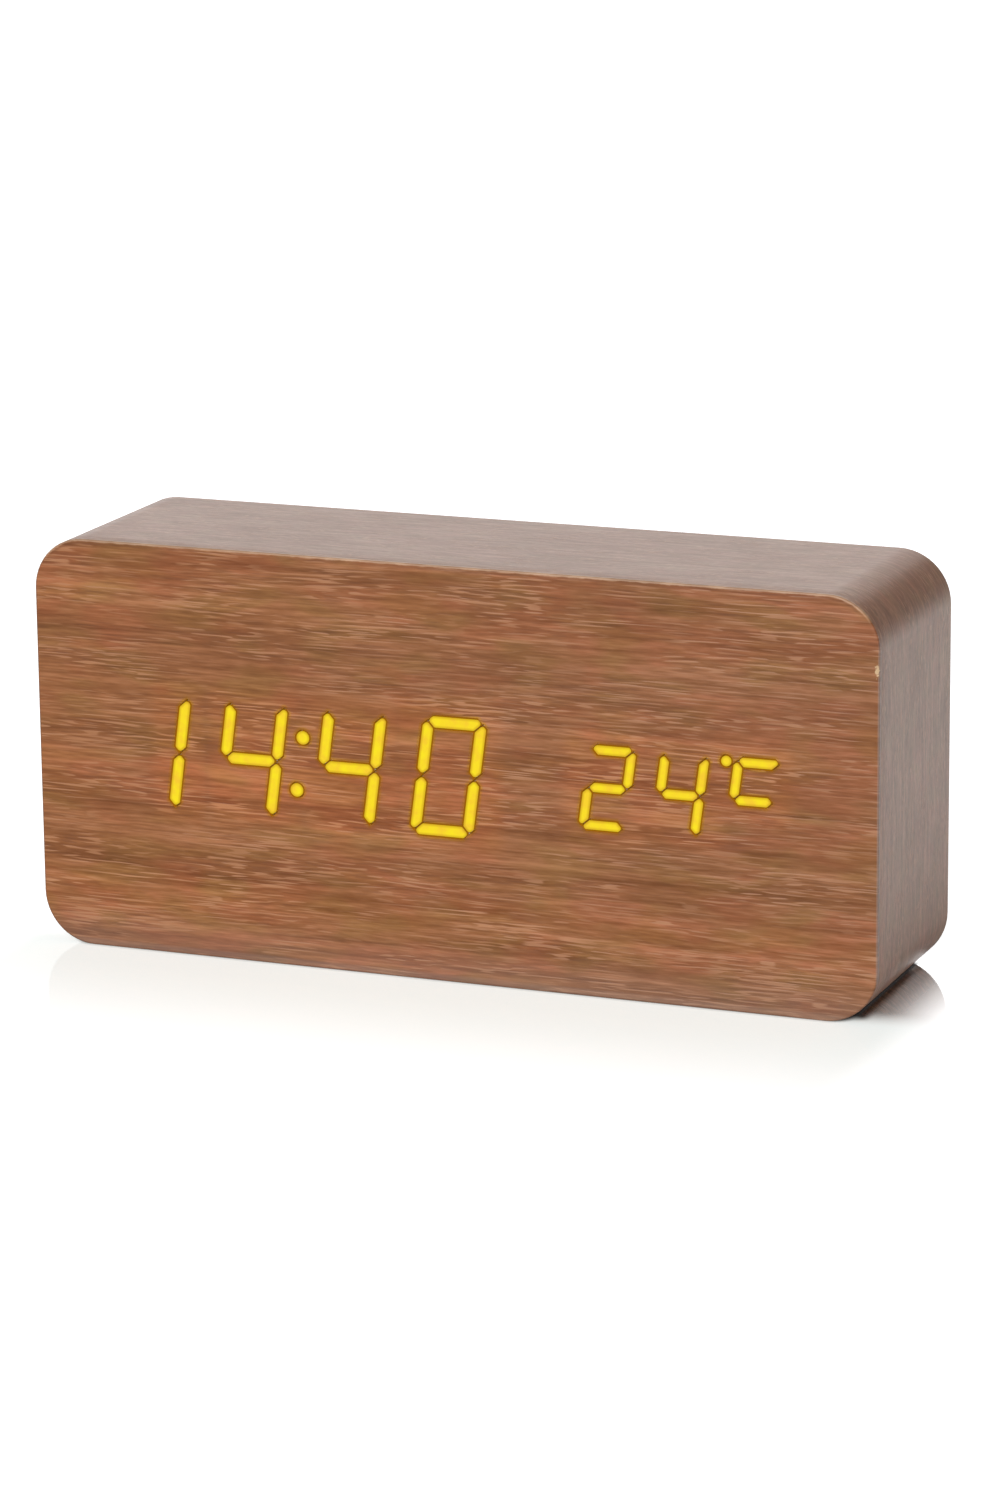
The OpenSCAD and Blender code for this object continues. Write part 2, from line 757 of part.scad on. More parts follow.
// One segment's outline, grown all round by grow. Where grown outlines run into each other,
// the level bars end a little short of the upright ones, so that no two outlines share a line.
function segment(name, digit, grow) = let (
    w = digit[2],
    h = digit[3],
    s = digit[4] + 2 * grow,
    cut = digit[5] + grow * (2 - sqrt(2)),
    e = segment_gap / sqrt(2) - grow * sqrt(2),
    short = max(0, -e / 2)
)
    name == "a" ? bar_top(w, h, s, cut + 2 * short, e)
    : name == "d" ? flip(bar_top(w, h, s, cut + 2 * short, e), 1, -1)
    : name == "b" ? bar_side(w, h, s, cut, e)
    : name == "c" ? flip(bar_side(w, h, s, cut, e), 1, -1)
    : name == "e" ? flip(bar_side(w, h, s, cut, e), -1, -1)
    : name == "f" ? flip(bar_side(w, h, s, cut, e), -1, 1)
    : bar_middle(w, s, e + short);

function segment_middle(name, digit) = let (w = digit[2], h = digit[3])
    name == "a" ? [0, h]
    : name == "b" ? [w, h / 2]
    : name == "c" ? [w, -h / 2]
    : name == "d" ? [0, -h]
    : name == "e" ? [-w, -h / 2]
    : name == "f" ? [-w, h / 2]
    : [0, 0];

function outline(name, digit, grow) = [for (p = segment(name, digit, grow)) place(digit, p)];

// An outline with its corners rounded by r, each in a few short edges
function soft(points, r) = [
    for (i = [0 : len(points) - 1])
        let (
            n = len(points),
            before = unit(points[(i + n - 1) % n] - points[i]),
            after = unit(points[(i + 1) % n] - points[i]),
            half = acos(before * after) / 2,
            middle = points[i] + unit(before + after) * r / sin(half),
            start = points[i] + before * r / tan(half) - middle,
            stop = points[i] + after * r / tan(half) - middle
        )
        for (k = [0 : round_steps])
            middle + r * unit(start + (stop - start) * k / round_steps)
];

module segments(digit, names, grow) {
    for (i = [0 : len(names) - 1])
        polygon(outline(names[i], digit, grow));
}

module soft_segments(digit, names, grow, r) {
    for (i = [0 : len(names) - 1])
        polygon(soft(outline(names[i], digit, grow), r));
}

module dot(at, d, grow) {
    translate(at) circle(d / 2 + grow);
}

module every_segment(grow) {
    for (digit = all_digits)
        segments(digit, all_segments, grow);
    for (at = colon_dots)
        dot(at, colon_d, grow);
    dot(degree_dot, degree_d, grow);
}

module every_lit_segment(grow) {
    for (i = [0 : len(all_digits) - 1])
        soft_segments(all_digits[i], all_shown[i], grow, outline_round);
    for (at = colon_dots)
        dot(at, colon_d, grow);
    dot(degree_dot, degree_d, grow);
}

// A lit piece fills its cut-out from the front face to the diffuser
module lit() {
    color("gold") along_y(front_y, mask_back) children();
}

module lit_digit(digit, names) {
    lit() soft_segments(digit, names, 0, segment_round * digit[4]);
}

// Case and front

module case_body() {
    color("tan") difference() {
        along_y(panel_back, rear_y) translate([0, mid_z]) rounded(case_w, case_h, corner_r);
        along_y(wall_back, rear_y + over) translate([0, mid_z]) rounded(cavity_w, cavity_h, cavity_r);
        along_y(cover_in, rear_y + over) translate([0, mid_z])
            rounded(pocket_w, pocket_h, cover_r + cover_gap);
        along_y(panel_back - over, wall_back + over) window_outline(0);
        for (p = cover_screw_places)
            along_y(cover_in - cover_screw_bite - screw_gap, cover_in + over)
                translate(p) circle(screw_d / 2 + screw_gap);
        for (p = display_screw_places)
            along_y(panel_back + display_screw_cover - screw_gap, wall_back + over)
                translate(p) circle(screw_d / 2 + screw_gap);
    }
}

module front_panel() {
    color("sienna") along_y(front_y, panel_back) difference() {
        translate([0, mid_z]) rounded(case_w, case_h, corner_r);
        every_lit_segment(outline_gap);
    }
}

// Display

module lit_hour_tens() {
    lit_digit(time_digits[0], time_shown[0]);
}

module lit_hour_units() {
    lit_digit(time_digits[1], time_shown[1]);
}

module lit_colon() {
    lit() for (at = colon_dots) dot(at, colon_d, 0);
}

module lit_minute_tens() {
    lit_digit(time_digits[2], time_shown[2]);
}

module lit_minute_units() {
    lit_digit(time_digits[3], time_shown[3]);
}

module lit_temp_tens() {
    lit_digit(temp_digits[0], temp_shown[0]);
}

module lit_temp_units() {
    lit_digit(temp_digits[1], temp_shown[1]);
}

module lit_celsius() {
    lit_digit(temp_digits[2], temp_shown[2]);
    lit() dot(degree_dot, degree_d, 0);
}

module light_mask() {
    color("black") along_y(panel_back, mask_back) difference() {
        window_outline(module_gap);
        every_segment(mask_gap);
    }
}

module diffuser_sheet() {
    color("whitesmoke") along_y(mask_back, diffuser_back) window_outline(module_gap);
}

module segment_frame() {
    color("white") difference() {
        union() {
            along_y(diffuser_back, flange_back) window_outline(module_gap);
            along_y(wall_back, flange_back) flange_outline();
        }
        along_y(diffuser_back - over, flange_back + over) every_segment(0);
        for (p = display_screw_places)
            along_y(wall_back - over, flange_back + over) translate(p) circle(screw_d / 2 + screw_gap);
    }
}

module display_board() {
    color("darkgreen") along_y(flange_back, display_back) difference() {
        flange_outline();
        for (p = display_screw_places) translate(p) circle(screw_d / 2 + screw_gap);
    }
}

module led(at, l, w) {
    along_y(flange_back - led_h, flange_back) translate(at) square([l, w], center = true);
}

module display_leds() {
    color("lightyellow") {
        for (digit = all_digits, i = [0 : len(all_segments) - 1]) {
            name = all_segments[i];
            level = name == "a" || name == "d" || name == "g";
            led(place(digit, segment_middle(name, digit)), level ? led_l : led_w, level ? led_w : led_l);
        }
        for (at = concat(colon_dots, [degree_dot]))
            led(at, led_w, led_w);
    }
}

module driver_chip() {
    color("dimgray") mirror([0, 1, 0])
        chip(driver_place, -display_back, driver_l, driver_w, driver_h, true, false);
}

module display_screws() {
    length = display_back - panel_back - display_screw_cover;
    color("silver") for (p = display_screw_places)
        translate([p[0], 0, p[1]]) screw(display_back, length, 1);
}

// Control board

module control_board() {
    color("darkgreen") along_y(control_front, control_rear) difference() {
        translate([-control_x, mid_z]) square([control_w, control_h], center = true);
        for (p = post_places) translate(p) circle(screw_d / 2 + screw_gap);
    }
}

module microcontroller() {
    color("dimgray") chip(mcu_place, control_front, mcu_w, mcu_w, mcu_h, true, true);
}

module crystal() {
    ends = crystal_l / 2 - crystal_w / 2;
    color("silver") along_y(control_front - crystal_h, control_front) translate(crystal_place) {
        square([2 * ends, crystal_w], center = true);
        for (s = [-1, 1]) translate([s * ends, 0]) circle(crystal_w / 2);
    }
}

module buzzer() {
    color("black") along_y(control_front - buzzer_h, control_front)
        translate(buzzer_place) circle(buzzer_d / 2);
}

module microphone() {
    color("silver") along_y(control_rear, control_rear + mic_h) translate(mic_place) circle(mic_d / 2);
}

module temperature_probe() {
    color("black") translate([probe_place[0], control_rear, probe_place[1]]) {
        translate([0, probe_h, 0]) sphere(probe_d / 2);
        for (s = [-1, 1])
            along_y(0, probe_h) translate([s * probe_d / 4, 0]) circle(probe_leg_d / 2);
    }
}

module backup_cell_holder() {
    wall_front = control_front - holder_t - coin_t;
    color("black") translate([coin_place[0], 0, coin_place[1]]) {
        along_y(control_front - holder_t, control_front) circle(holder_r);
        along_y(wall_front, control_front - holder_t) difference() {
            circle(holder_r);
            circle(holder_r - holder_t);
            square([2 * holder_r + over, holder_gap], center = true);
        }
    }
}

module backup_cell() {
    face = control_front - holder_t;
    color("silver") along_y(face - coin_t, face) translate(coin_place) circle(coin_d / 2);
}

module tact_switches() {
    bore_y = control_rear + tact_h - plunger_foot - button_travel - plunger_gap;
    color("black") difference() {
        for (p = button_places)
            along_y(control_rear, control_rear + tact_h)
                translate(p) square([tact_w, tact_w], center = true);
        for (p = button_places)
            along_y(bore_y, control_rear + tact_h + over)
                translate(p) circle(plunger_d / 2 + plunger_gap);
    }
}

module plunger(at) {
    color("ivory") along_y(plunger_top - plunger_proud - plunger_foot, plunger_top)
        translate(at) circle(plunger_d / 2);
}

module set_plunger() {
    plunger(button_places[0]);
}

module up_plunger() {
    plunger(button_places[1]);
}

module down_plunger() {
    plunger(button_places[2]);
}

module sound_switch_body() {
    color("silver") translate([sound_place[0], control_rear, sound_place[1]]) difference() {
        along_y(0, sound_h) square([sound_l, sound_w], center = true);
        along_y(sound_h - knob_foot - knob_gap, sound_h + over) square([slide_l, slide_w], center = true);
    }
}

module sound_switch_knob() {
    foot = control_rear + sound_h - knob_foot;
    top = cover_out - knob_sink;
    color("dimgray") translate([sound_place[0] + knob_rest, 0, sound_place[1]]) difference() {
        along_y(foot, top) square([knob_l, knob_w], center = true);
        for (i = [-1, 0, 1])
            along_y(top - knob_groove, top + over)
                translate([2 * i * knob_groove, 0]) square([knob_groove, knob_w + over], center = true);
    }
}

// The socket's outline, with its two lower corners cut
module usb_outline(inset) {
    w = usb_w / 2 - inset;
    h = usb_h / 2 - inset;
    cut = usb_cut - inset * (2 - sqrt(2));
    polygon([[-w, h], [w, h], [w, -h + cut], [w - cut, -h], [-w + cut, -h], [-w, -h + cut]]);
}

module usb_shell() {
    color("silver") along_y(control_rear, control_rear + usb_l) translate(usb_place) difference() {
        usb_outline(0);
        usb_outline(usb_t);
    }
}

module usb_tongue() {
    color("black") translate([usb_place[0], control_rear, usb_place[1]]) {
        along_y(0, tongue_base) usb_outline(usb_t + tongue_gap);
        along_y(0, usb_l - tongue_sink) square([tongue_w, tongue_t], center = true);
    }
}

module ribbon_socket(y, z, turn) {
    top = y + turn * ribbon_socket_h;
    foot = top - turn * (ribbon_foot + ribbon_gap);
    past = top + turn * over;
    mouth = [ribbon_w + 2 * ribbon_gap, ribbon_t + 2 * ribbon_gap];
    wall = 2 * ribbon_socket_t;
    translate([ribbon_x, 0, z]) difference() {
        along_y(min(y, top), max(y, top)) square(mouth + [wall, wall], center = true);
        along_y(min(foot, past), max(foot, past)) square(mouth, center = true);
    }
}

module ribbon_sockets() {
    color("ivory") {
        ribbon_socket(display_back, ribbon_bottom, 1);
        ribbon_socket(control_front, ribbon_top, -1);
    }
}

// The ribbon leaves the display board, climbs, and turns again to the control board
module ribbon_cable() {
    first_y = display_back + ribbon_socket_h - ribbon_foot;
    last_y = control_front - ribbon_socket_h + ribbon_foot;
    turn_y = (first_y + last_y) / 2;
    half = ribbon_t / 2;
    color("lightgray") along_x(ribbon_x - ribbon_w / 2, ribbon_x + ribbon_w / 2) {
        translate([first_y, ribbon_bottom - half]) square([turn_y - ribbon_r - first_y, ribbon_t]);
        translate([turn_y, ribbon_top - half])
            translate([ribbon_r, 0]) square([last_y - turn_y - ribbon_r, ribbon_t]);
        translate([turn_y - half, ribbon_bottom + ribbon_r])
            square([ribbon_t, ribbon_drop - 2 * ribbon_r]);
        ribbon_bend([turn_y - ribbon_r, ribbon_bottom + ribbon_r], [0, -1]);
        ribbon_bend([turn_y + ribbon_r, ribbon_top - ribbon_r], [-1, 0]);
    }
}

// A quarter ring about at, in the quadrant whose low corner is given in radii
module ribbon_bend(at, corner) {
    reach = ribbon_r + ribbon_t / 2;
    translate(at) intersection() {
        difference() {
            circle(reach);
            circle(reach - ribbon_t);
        }
        translate(corner * reach) square(reach);
    }
}

module control_board_screws() {
    color("silver") for (p = post_places)
        translate([p[0], 0, p[1]]) screw(control_front, board_t + post_bite, -1);
}

// Rear cover

module vents() {
    ends = vent_h / 2 - vent_w / 2;
    for (i = [0 : vent_count - 1])
        translate([-control_x + (i - (vent_count - 1) / 2) * vent_pitch, vent_z]) {
            square([vent_w, 2 * ends], center = true);
            for (s = [-1, 1]) translate([0, s * ends]) circle(vent_w / 2);
        }
}

module cover_openings() {
    for (p = cover_screw_places) translate(p) circle(screw_d / 2 + screw_gap);
    for (p = button_places) translate(p) circle(button_d / 2 + button_gap);
    vents();
    translate(sound_place) square([slide_l, slide_w], center = true);
    translate(usb_place) rounded(usb_w + 2 * usb_room, usb_h + 2 * usb_room, usb_r);
}

module rear_cover() {
    head_floor = cover_out - screw_head_h;
    color([0.1, 0.1, 0.11]) difference() {
        union() {
            along_y(cover_in, cover_out) translate([0, mid_z]) rounded(cover_w, cover_h, cover_r);
            along_y(bay_back, cover_in) translate([bay_x, mid_z])
                square([bay_l + 2 * bay_wall, bay_h + 2 * bay_wall], center = true);
            for (p = post_places) along_y(control_rear, cover_in) translate(p) circle(post_d / 2);
        }
        along_y(cover_in - over, cover_out + over) cover_openings();
        for (p = cover_screw_places)
            along_y(head_floor, cover_out + over) translate(p) circle(screw_head_d / 2 + head_gap);
        for (p = post_places)
            along_y(control_rear - over, control_rear + post_bite + screw_gap)
                translate(p) circle(screw_d / 2 + screw_gap);
        battery_space();
        door_space();
    }
}

// The room that the cells, contacts and tabs take in the cover
module battery_space() {
    along_y(cradle_y, cover_out + over) translate([bay_x, mid_z]) square([bay_l, bay_h], center = true);
    for (z = cell_zs)
        along_x(bay_left, bay_right) translate([cell_y, z]) circle(cell_d / 2 + cell_gap);
    for (tab = [positive_tab, negative_tab])
        block(tab - [contact_t / 2 + tab_gap, 0, tab_w / 2 + tab_gap],
              [tab[0] + contact_t / 2 + tab_gap, cell_y, tab[2] + tab_w / 2 + tab_gap]);
}

// The room that the door takes in the cover, with its pin holes and the finger hollow
module door_space() {
    block([door_left - door_gap, rebate_y, rebate_bottom],
          [door_right + door_gap, cover_out + over, door_top + door_gap]);
    along_x(door_left - pin_l - pin_gap, door_right + pin_l + pin_gap)
        translate([hinge_y, hinge_z]) circle(pin_d / 2 + pin_gap);
    along_y(cover_out - scoop_t, cover_out + over) translate([bay_x, door_top]) circle(scoop_r);
}

module rear_cover_screws() {
    length = cover_t - screw_head_h + cover_screw_bite;
    color("silver") for (p = cover_screw_places)
        translate([p[0], 0, p[1]]) screw(cover_out - screw_head_h, length, 1);
}

// A button's cap, collar and stem, with a mark cut in the cap
module push_button(at) {
    top = cover_out + button_proud;
    color([0.16, 0.16, 0.17]) translate([at[0], 0, at[1]]) difference() {
        union() {
            along_y(collar_in, top) circle(button_d / 2);
            along_y(collar_in, collar_in + collar_t) circle(button_d / 2 + collar_w);
            along_y(plunger_top, collar_in) circle(stem_d / 2);
        }
        along_y(top - mark_t, top + over) children();
    }
}

module arrow_mark(turn) {
    polygon([[-mark_w / 2, -turn * mark_w / 3], [mark_w / 2, -turn * mark_w / 3], [0, turn * mark_w / 2]]);
}

module set_button() {
    push_button(button_places[0])
        for (i = [-1, 0, 1]) translate([0, i * mark_w / 3]) square([mark_w, mark_w / 6], center = true);
}

module up_button() {
    push_button(button_places[1]) arrow_mark(1);
}

module down_button() {
    push_button(button_places[2]) arrow_mark(-1);
}

// Battery door, hinged along its lower edge

module battery_door() {
    color([0.13, 0.13, 0.14]) difference() {
        union() {
            along_x(door_left, door_right) {
                translate([hinge_y, hinge_z]) circle(hinge_r);
                translate([cover_out - door_t, hinge_z]) square([door_t, door_top - hinge_z]);
            }
            along_x(door_left - pin_l, door_right + pin_l) translate([hinge_y, hinge_z]) circle(pin_d / 2);
        }
        for (s = [-1, 1])
            translate([bay_x + s * grip_w / 2, cover_out, door_top])
                cube([grip_slot, 2 * (door_t + over), 2 * grip_l], center = true);
        for (i = [1 : groove_count])
            translate([bay_x, cover_out, door_top - i * groove_pitch])
                cube([grip_w - 2 * groove_pitch, 2 * groove_t, groove_w], center = true);
    }
}

// Cells and contacts

// Each cell points its nub to the end given in positive_end
module at_cell(i) {
    start = positive_end[i] < 0 ? bay_left + contact_t : bay_right - contact_t;
    translate([start, cell_y, cell_zs[i]]) rotate([0, positive_end[i] < 0 ? 0 : 180, 0]) children();
}

module battery_cells() {
    color("silver") for (i = [0 : 2]) at_cell(i) {
        along_x(0, nub_l) circle(nub_d / 2);
        along_x(nub_l, cell_l) circle(cell_d / 2 - sleeve_t);
    }
}

module battery_sleeves() {
    color("darkslategray") for (i = [0 : 2]) at_cell(i)
        along_x(nub_l + sleeve_end, cell_l - sleeve_end) difference() {
            circle(cell_d / 2);
            circle(cell_d / 2 - sleeve_t);
        }
}

module battery_springs() {
    color("lightsteelblue") for (i = [0 : 2]) at_cell(i)
        translate([cell_l + spring_l, 0, 0]) mirror([1, 0, 0])
            tube(spring_points, spring_wire, 6, [0, 1, 0]);
}

// A plate at one end of the bay, over the cells from the first to the last
module contact(x, first, last) {
    block([x, cradle_y, cell_zs[last] - contact_w / 2],
          [x + contact_t, cell_y + contact_h, cell_zs[first] + contact_w / 2]);
}

module solder_tab(tab) {
    block(tab - [contact_t / 2, 0, tab_w / 2],
          [tab[0] + contact_t / 2, cradle_y + over, tab[2] + tab_w / 2]);
}

module battery_plates() {
    color("silver") {
        contact(plate_ends[0], 0, 0);
        solder_tab(positive_tab);
        contact(plate_ends[0], 1, 2);
        contact(plate_ends[1], 0, 1);
        contact(plate_ends[1], 2, 2);
        solder_tab(negative_tab);
    }
}

module battery_lead_positive() {
    color("firebrick") tube(lead_route(positive_tab, positive_pad), lead_d, 8, [0, 0, 1]);
}

module battery_lead_negative() {
    color("black") tube(lead_route(negative_tab, negative_pad), lead_d, 8, [0, 0, 1]);
}

case_body();
front_panel();
lit_hour_tens();
lit_hour_units();
lit_colon();
lit_minute_tens();
lit_minute_units();
lit_temp_tens();
lit_temp_units();
lit_celsius();
light_mask();
diffuser_sheet();
segment_frame();
display_board();
display_leds();
driver_chip();
display_screws();
control_board();
microcontroller();
crystal();
buzzer();
microphone();
temperature_probe();
backup_cell_holder();
backup_cell();
tact_switches();
set_plunger();
up_plunger();
down_plunger();
sound_switch_body();
sound_switch_knob();
usb_shell();
usb_tongue();
ribbon_sockets();
ribbon_cable();
control_board_screws();
rear_cover();
rear_cover_screws();
set_button();
up_button();
down_button();
battery_door();
battery_cells();
battery_sleeves();
battery_springs();
battery_plates();
battery_lead_positive();
battery_lead_negative();
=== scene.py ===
"""Looks of the desk clock: materials, eased edges, a white studio and the photograph's camera.

The CAD pieces keep their places and sizes. The outer ones get a copy with eased edges, the lit ones a copy
with a finely cut front, and every piece gets a material made of nodes. Lengths are in millimetres, apart
from the lamps' and the floor's own sizes, which are in metres as Blender's are.
"""

import json
import math

import bmesh
import bpy
import numpy as np
from mathutils import Matrix, Vector
from mathutils.geometry import delaunay_2d_cdt

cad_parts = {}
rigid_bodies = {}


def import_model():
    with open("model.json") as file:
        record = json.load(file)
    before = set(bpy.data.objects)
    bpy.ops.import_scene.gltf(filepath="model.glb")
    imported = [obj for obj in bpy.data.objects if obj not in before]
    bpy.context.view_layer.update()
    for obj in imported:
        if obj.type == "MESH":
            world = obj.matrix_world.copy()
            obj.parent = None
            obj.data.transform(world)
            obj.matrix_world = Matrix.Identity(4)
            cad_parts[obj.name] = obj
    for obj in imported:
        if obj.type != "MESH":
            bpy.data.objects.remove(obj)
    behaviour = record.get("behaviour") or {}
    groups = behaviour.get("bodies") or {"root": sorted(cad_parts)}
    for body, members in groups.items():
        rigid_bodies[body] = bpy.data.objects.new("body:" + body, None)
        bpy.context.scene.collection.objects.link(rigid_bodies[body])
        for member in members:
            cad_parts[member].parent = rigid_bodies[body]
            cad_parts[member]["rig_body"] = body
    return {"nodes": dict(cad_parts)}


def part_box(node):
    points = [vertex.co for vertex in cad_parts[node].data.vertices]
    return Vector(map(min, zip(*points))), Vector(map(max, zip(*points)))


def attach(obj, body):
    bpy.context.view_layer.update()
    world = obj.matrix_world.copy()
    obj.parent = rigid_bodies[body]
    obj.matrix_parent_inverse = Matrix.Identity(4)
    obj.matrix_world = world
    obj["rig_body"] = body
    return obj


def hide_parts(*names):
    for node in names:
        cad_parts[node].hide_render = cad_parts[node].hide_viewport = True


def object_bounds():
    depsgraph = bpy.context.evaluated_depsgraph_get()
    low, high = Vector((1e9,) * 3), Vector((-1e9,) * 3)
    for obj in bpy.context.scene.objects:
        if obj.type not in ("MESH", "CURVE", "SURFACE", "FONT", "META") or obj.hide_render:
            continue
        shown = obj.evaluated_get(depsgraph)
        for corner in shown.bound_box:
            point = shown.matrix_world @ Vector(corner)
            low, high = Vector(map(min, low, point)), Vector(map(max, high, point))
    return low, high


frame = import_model()
cad_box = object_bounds()
nodes = frame["nodes"]

MM = 0.001

LIT_NODES = (
    "lit_hour_tens", "lit_hour_units", "lit_colon", "lit_minute_tens", "lit_minute_units",
    "lit_temp_tens", "lit_temp_units", "lit_celsius",
)
BUTTONS = ("set_button", "up_button", "down_button")

# Places read from the CAD pieces
CASE_LOW, CASE_HIGH = (corner / MM for corner in cad_box)
FRONT_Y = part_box("front_panel")[0].y / MM
PANEL_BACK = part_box("front_panel")[1].y / MM
REAR_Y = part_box("case_body")[1].y / MM
COVER_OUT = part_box("battery_door")[1].y / MM
BUTTON_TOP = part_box("set_button")[1].y / MM
KNOB_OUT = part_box("sound_switch_knob")[1].y / MM
SHELL_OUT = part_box("usb_shell")[1].y / MM
CHIP_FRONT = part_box("display_leds")[0].y / MM
RIBBON_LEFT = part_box("ribbon_cable")[0].x / MM
CELL_LOW, CELL_HIGH = (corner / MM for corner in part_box("battery_sleeves"))
MID_Z = (CASE_LOW.z + CASE_HIGH.z) / 2
HALF_W = CASE_HIGH.x
HALF_H = MID_Z

# Sizes of the CAD pieces that no box gives
CORNER_R = 9.0
MARK_DEPTH = 0.3
FLAT_HALF = HALF_W - CORNER_R


def srgb(red, green, blue):
    """A colour given as 0 to 255, as the linear colour that a socket takes."""

    def linear(value):
        value /= 255
        return value / 12.92 if value <= 0.04045 else ((value + 0.055) / 1.055) ** 2.4

    return (linear(red), linear(green), linear(blue), 1.0)


class Graph:
    """A material's nodes. Where a value is a socket, it is linked; otherwise it is set."""

    def __init__(self, name):
        self.material = bpy.data.materials.new(name)
        self.material.use_nodes = True
        self.tree = self.material.node_tree
        self.tree.nodes.clear()

    @classmethod
    def of(cls, material):
        """The nodes of a material that is already made."""
        graph = cls.__new__(cls)
        graph.material, graph.tree = material, material.node_tree
        return graph

    def over(self, share, colour):
        """Lays a colour over the finished surface's own."""
        shader = next(node for node in self.tree.nodes if node.type == "BSDF_PRINCIPLED")
        socket = shader.inputs["Base Color"]
        self.tree.links.new(self.mix(share, socket.links[0].from_socket, colour), socket)

    def put(self, socket, value):
        """Links or sets one socket."""
        if isinstance(value, bpy.types.NodeSocket):
            self.tree.links.new(value, socket)
        else:
            socket.default_value = value

    def node(self, kind, inputs=None, **settings):
        made = self.tree.nodes.new("ShaderNode" + kind)
        for key, value in settings.items():
            setattr(made, key, value)
        for key, value in (inputs or {}).items():
            self.put(made.inputs[key], value)
        return made

    def math(self, operation, a, b=0.0):
        return self.node("Math", {0: a, 1: b}, operation=operation).outputs[0]

    def add(self, a, b):
        return self.math("ADD", a, b)

    def less(self, a, b):
        return self.math("SUBTRACT", a, b)

    def times(self, a, b):
        return self.math("MULTIPLY", a, b)

    def larger(self, a, b):
        return self.math("MAXIMUM", a, b)

    def smaller(self, a, b):
        return self.math("MINIMUM", a, b)

    def absolute(self, value):
        return self.math("ABSOLUTE", value)

    def span(self, value, start, stop, low=0.0, high=1.0):
        """low up to start and high from stop, with a smooth change between."""
        inputs = {"Value": value, "From Min": start, "From Max": stop, "To Min": low, "To Max": high}
        return self.node("MapRange", inputs, interpolation_type="SMOOTHSTEP").outputs[0]

    def fade(self, value, start, stop, high=1.0):
        """high up to start and 0 from stop, with a smooth change between."""
        return self.span(value, start, stop, high, 0.0)

    def between(self, value, rise, fall):
        """1 on a stretch and 0 outside it. rise and fall are the starts and stops of its smooth ends."""
        return self.times(self.span(value, *rise), self.fade(value, *fall))

    def point(self, x, y, z=0.0):
        return self.node("CombineXYZ", {0: x, 1: y, 2: z}).outputs[0]

    def length(self, a, b):
        return self.node("VectorMath", {0: self.point(a, b)}, operation="LENGTH").outputs["Value"]

    def place(self):
        """The piece's own coordinates, in millimetres."""
        at = self.node("TexCoord").outputs["Object"]
        scaled = self.node("VectorMath", {0: at, 1: (1 / MM,) * 3}, operation="MULTIPLY").outputs[0]
        return self.node("SeparateXYZ", {0: scaled}).outputs

    def map(self, name):
        """The coordinates of a map of the mesh."""
        return self.node("SeparateXYZ", {0: self.node("UVMap", uv_map=name).outputs[0]}).outputs

    def noise(self, at, detail):
        return self.node("TexNoise", {"Vector": at, "Scale": 1.0, "Detail": detail}).outputs[0]

    def blotches(self, axes, scales, detail, seed=0.0):
        """Noise over two or three axes, each with its own scale. A seed gives two axes other noise."""
        at = [self.times(axis, scale) for axis, scale in zip(axes, scales)]
        if len(at) == 2:
            at.append(seed)
        return self.noise(self.point(*at), detail)

    def cells(self, at, feature="F1", randomness=1.0):
        inputs = {"Vector": at, "Scale": 1.0, "Randomness": randomness}
        return self.node("TexVoronoi", inputs, feature=feature).outputs["Distance"]

    def ramp(self, value, stops):
        made = self.node("ValToRGB", {0: value})
        colours = made.color_ramp.elements
        while len(colours) < len(stops):
            colours.new(0.5)
        for element, (position, colour) in zip(colours, stops):
            element.position = position
            element.color = colour
        return made.outputs[0]

    def mix(self, share, a, b, blend="MIX"):
        made = self.node("Mix", data_type="RGBA", blend_type=blend)
        for socket, value in ((0, share), (6, a), (7, b)):
            self.put(made.inputs[socket], value)
        return made.outputs[2]

    def tinted(self, share, colour, tint):
        return self.mix(share, colour, tint, "MULTIPLY")

    def surface(self, colour, roughness, height=None, depth_mm=0.0, **sockets):
        """The finished surface. Its other sockets are named with _ for spaces."""
        inputs = {"Base Color": colour, "Roughness": roughness}
        inputs.update({key.replace("_", " "): value for key, value in sockets.items()})
        if height is not None:
            inputs["Normal"] = self.node("Bump", {"Height": height, "Distance": depth_mm * MM}).outputs[0]
        shader = self.node("BsdfPrincipled", inputs)
        self.node("OutputMaterial", {"Surface": shader.outputs[0]})
        return self.material


# Wood-grain film

FILM_IOR = 1.5
FILM_DARK = srgb(125, 71, 26)
FILM_MID = srgb(155, 98, 55)
FILM_LIGHT = srgb(188, 126, 84)
FILM_FLECK = srgb(200, 143, 103)
# Dark brown of the grain's lines, also laid as painted shade
FILM_LINE = srgb(108, 65, 42)
FILM_RIM = srgb(226, 186, 152)
# Painted shade along the front's outer rim
FILM_EDGE_SHADE = srgb(124, 80, 50)
FILM_CHIP = srgb(236, 204, 160)
# Painted light: the floor's bounce, pale near the front's base
FILM_BOUNCE_LIGHT = srgb(178, 164, 156)
# Painted sheen: the grey of the floor's reflection on the sides
FILM_SHEEN_GREY = srgb(160, 148, 142)
FILM_SEAM = srgb(70, 42, 24)
BARE_BOARD = [(0.3, srgb(120, 88, 58)), (0.7, srgb(150, 114, 78))]
TINT_RED = (1.05, 0.92, 0.94, 1.0)
TINT_OLIVE = (0.94, 1.04, 0.86, 1.0)

# Streaks of the grain: their length and their height
SWAY = (70, 18)
BROAD = (80, 5)
STREAK = (26, 1.1)
FINE = (4, 0.4)
RED_PATCH = (11, 4.5)
RED_AREA = (90, 13)
OLIVE_PATCH = (13, 5)
SHORT_DASH = (4.5, 0.38)
LONG_DASH = (9.0, 0.34)
DASH_GROUP = (24, 5)
DARK_LINE = (9, 0.34)
LINE_GROUP = (30, 6)

